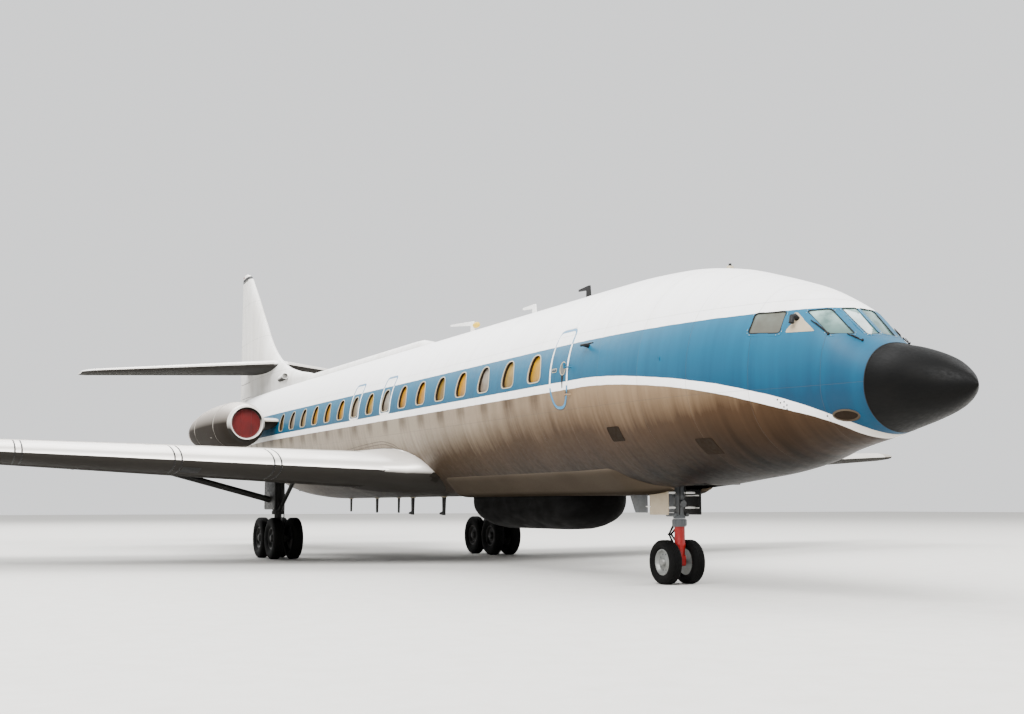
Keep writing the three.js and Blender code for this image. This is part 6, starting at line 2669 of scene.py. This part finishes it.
@dataclass
class MainGear:
    """Bogie gear on both sides: leg, stays, beam, door, axles and wheels."""

    paint: Palette
    wheels: Wheels
    x: float = 2.605
    station: float = 17.605
    axle_z: float = 0.4445
    spread_half: float = 0.49

    def at(self, x: float, aft: float, z: float) -> Triple:
        """Distance to port, station and height of a place given from the leg."""
        return (self.x + x, self.station + aft, z)

    def leg(self) -> Solid:
        """The leg with its collars, stays and strut.

        Returns:
            The solid.
        """
        at = self.at
        return Solid().rods(
            (at(0, 0, 0.98), at(0, 0, 1.8), 0.125, 36), (at(0, 0, 0.955), at(0, 0, 1.03), 0.137, 36),
            (at(0, 0, 1.3), at(0, 0, 1.36), 0.134, 36), (at(0, 0, 1.225), at(2.345, 0, 1.85), 0.068, 28),
            (at(0, 0, 0.98), at(0, -1.15, 1.66), 0.045, 24), (at(-0.06, 0.1, 1.1), at(-0.06, 0.6, 1.75), 0.03, 16),
        )

    def saddle(self) -> Solid:
        """The block between the leg and the beam, with its links.

        Returns:
            The solid.
        """
        flat = [(-0.15, 0.05), (0.15, 0.05), (0.15, 0.11), (0.07, 0.19), (-0.07, 0.19), (-0.15, 0.11)]
        line = rounded([(self.station + s, self.axle_z + z) for s, z in flat], 0.03, 4)
        links = [(self.at(-0.03, 0.08, z), self.at(-0.03, 0.33, 0.76), 0.02, 12) for z in (0.93, 0.62)]
        return Solid().slab(line, self.x - 0.075, self.x + 0.075).rods(*links)

    def build(self) -> None:
        """Builds both sides."""
        paint, at = self.paint, self.at
        line = rounded(oblong(self.station - 0.42, self.station + 0.42, 1.06, 1.69), 0.06, 4)
        door = Solid().slab(line, self.x + 0.17, self.x + 0.2)
        beam = [(0.3, 0.074), (0.42, 0.08), (0.55, 0.078), (0.56, 0.062), (0.56, 0)]
        beam = Solid().spun(spot(*at(0, 0, self.axle_z)), AFT, [*((-s, r) for s, r in beam[::-1]), *beam], 32)
        arms = Solid().box(spot(*at(0.1, -0.05, 1.19)), spot(*at(0.175, 0.05, 1.25)))
        arms.rods(*[(at(0.165, -0.36, z), at(0.165, 0.36, z), 0.014, 10) for z in (1.2, 1.55)])
        hoses = Solid()
        for x in (-0.09, 0.0, 0.09):
            path = [at(x, -0.13 - 0.04 * math.sin(k / 8 * math.pi), 1.7 - 1.05 * k / 8) for k in range(9)]
            hoses.rod([spot(*p) for p in path], 0.011, 8)
        piston = Solid().rods((at(0, 0, 0.5395), at(0, 0, 0.98), 0.08, 36))
        # The main gear's near-black enamel is painted shade.
        for drawn, name, node in (
            (self.leg(), "main_leg", "main_gear_leg"), (piston, "main_piston", ""), (self.saddle(), "bogie_saddle", ""),
            (beam, "bogie_beam_tube", "bogie_beam"),
        ):
            both(drawn, name, paint.greasy, Slot.STEEL, node, crease=40)
        both(door, "main_door", paint.greasy, Slot.ALLOY, "main_gear_door", edge=0.008)
        both(arms, "main_door_arms", paint.greasy, Slot.STEEL)
        both(hoses, "main_leg_hoses", paint.seal, Slot.STEEL)
        for side in Side:
            for end, step in (("front", -1), ("rear", 1)):
                centre = spot(side.value * self.x, self.station + step * self.spread_half, self.axle_z)
                name, body = f"main_axle_{side.word}_{end}", f"main_wheels_{side.word}_{end}"
                self.wheels.pair(name, body, Tyre(0.4445, 0.229, 0.235), 0.42, 0.045, centre, paint.greasy)


@dataclass
class Studio:
    """The camera at the photograph's angle, a pale floor and soft light."""

    eye: tuple[float, float, float] = (-10.4008, -25.8558, 1.1305)
    yaw: float = math.radians(26.2541)
    pitch: float = math.radians(6.71025)
    roll: float = math.radians(-0.0792)
    focal: float = 44.52
    floor: float = 160.0
    lamps: tuple[tuple[str, Triple, float, float], ...] = (
        ("key", (-34, -40, 48), 100000, 40), ("fill", (38, -24, 44), 42000, 44), ("back", (-6, 42, 46), 60000, 44),
    )

    def build(self) -> None:
        """Sets up the camera, the floor, the lights and the sky."""
        flat = math.cos(self.pitch)
        ahead = Vector((math.sin(self.yaw) * flat, math.cos(self.yaw) * flat, math.sin(self.pitch)))
        right = ahead.cross(UP).normalized()
        up = right.cross(ahead)
        level = right * math.cos(self.roll) + up * math.sin(self.roll)
        upright = up * math.cos(self.roll) - right * math.sin(self.roll)
        data = bpy.data.cameras.new("camera")
        data.sensor_width, data.lens, data.clip_end = 36, self.focal, 500
        camera = linked("camera", data)
        camera.matrix_world = Matrix.Translation(self.eye) @ Matrix((level, upright, -ahead)).transposed().to_4x4()
        bpy.context.scene.camera = camera
        finish = Coating("matt_floor_paint", "cfcdc8", "bdbab3", 0.4, 0.75, 0.9, 0.4, 0.0).material()
        corners = oblong(-self.floor, self.floor, -self.floor, self.floor)
        Solid([Vector((x, y, 0)) for x, y in corners], [(0, 1, 2, 3)]).piece("studio_floor", finish)
        for name, place, power, size in self.lamps:
            lamp = bpy.data.lights.new(name, "AREA")
            lamp.energy, lamp.size = power, size
            turn = (Vector((0, 0, 2)) - Vector(place)).to_track_quat("-Z", "Y").to_matrix().to_4x4()
            linked(name, lamp).matrix_world = Matrix.Translation(place) @ turn
        world = bpy.data.worlds.new("soft_sky")
        world.use_nodes = True
        colour, strength = world.node_tree.nodes["Background"].inputs[:2]
        put(colour, "f2f3f4")
        put(strength, 1.4)
        bpy.context.scene.world = world


def main() -> None:
    """Builds the studio and the sub-assemblies in order."""
    logging.basicConfig(level=logging.INFO, format="%(message)s")
    Studio().build()
    skin, paint, repeat = Skin(), Palette(), Repeat()
    cockpit = Cockpit(skin, paint, repeat)
    windows = CabinWindows(skin, paint, repeat)
    doors = (
        SideDoor(skin, paint, "service_door", Side.STARBOARD, 6.19, 6.76, 2.53, 3.74, 0.13),
        SideDoor(skin, paint, "passenger_door", Side.PORT, 6.10, 6.96, 2.33, 4.01, 0.06),
    )
    stair = Airstair(skin, paint, repeat)
    Fuselage(skin, paint, cockpit, windows, doors, stair).build()
    cockpit.build()
    windows.build()
    for door in doors:
        door.build()
    stair.build()
    Wing(skin, paint, repeat).build()
    Tail(skin, paint).build()
    Nacelles(paint).build()
    Belly(paint).build()
    Antennas(paint).build()
    wheels = Wheels(paint, repeat)
    NoseGear(paint, wheels, repeat).build()
    MainGear(paint, wheels).build()
    for side in Side:
        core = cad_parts[f"engine_{side.word}"]
        core.data.materials.clear()
        core.data.materials.append(paint.burnt)


if __name__ == "__main__":
    main()
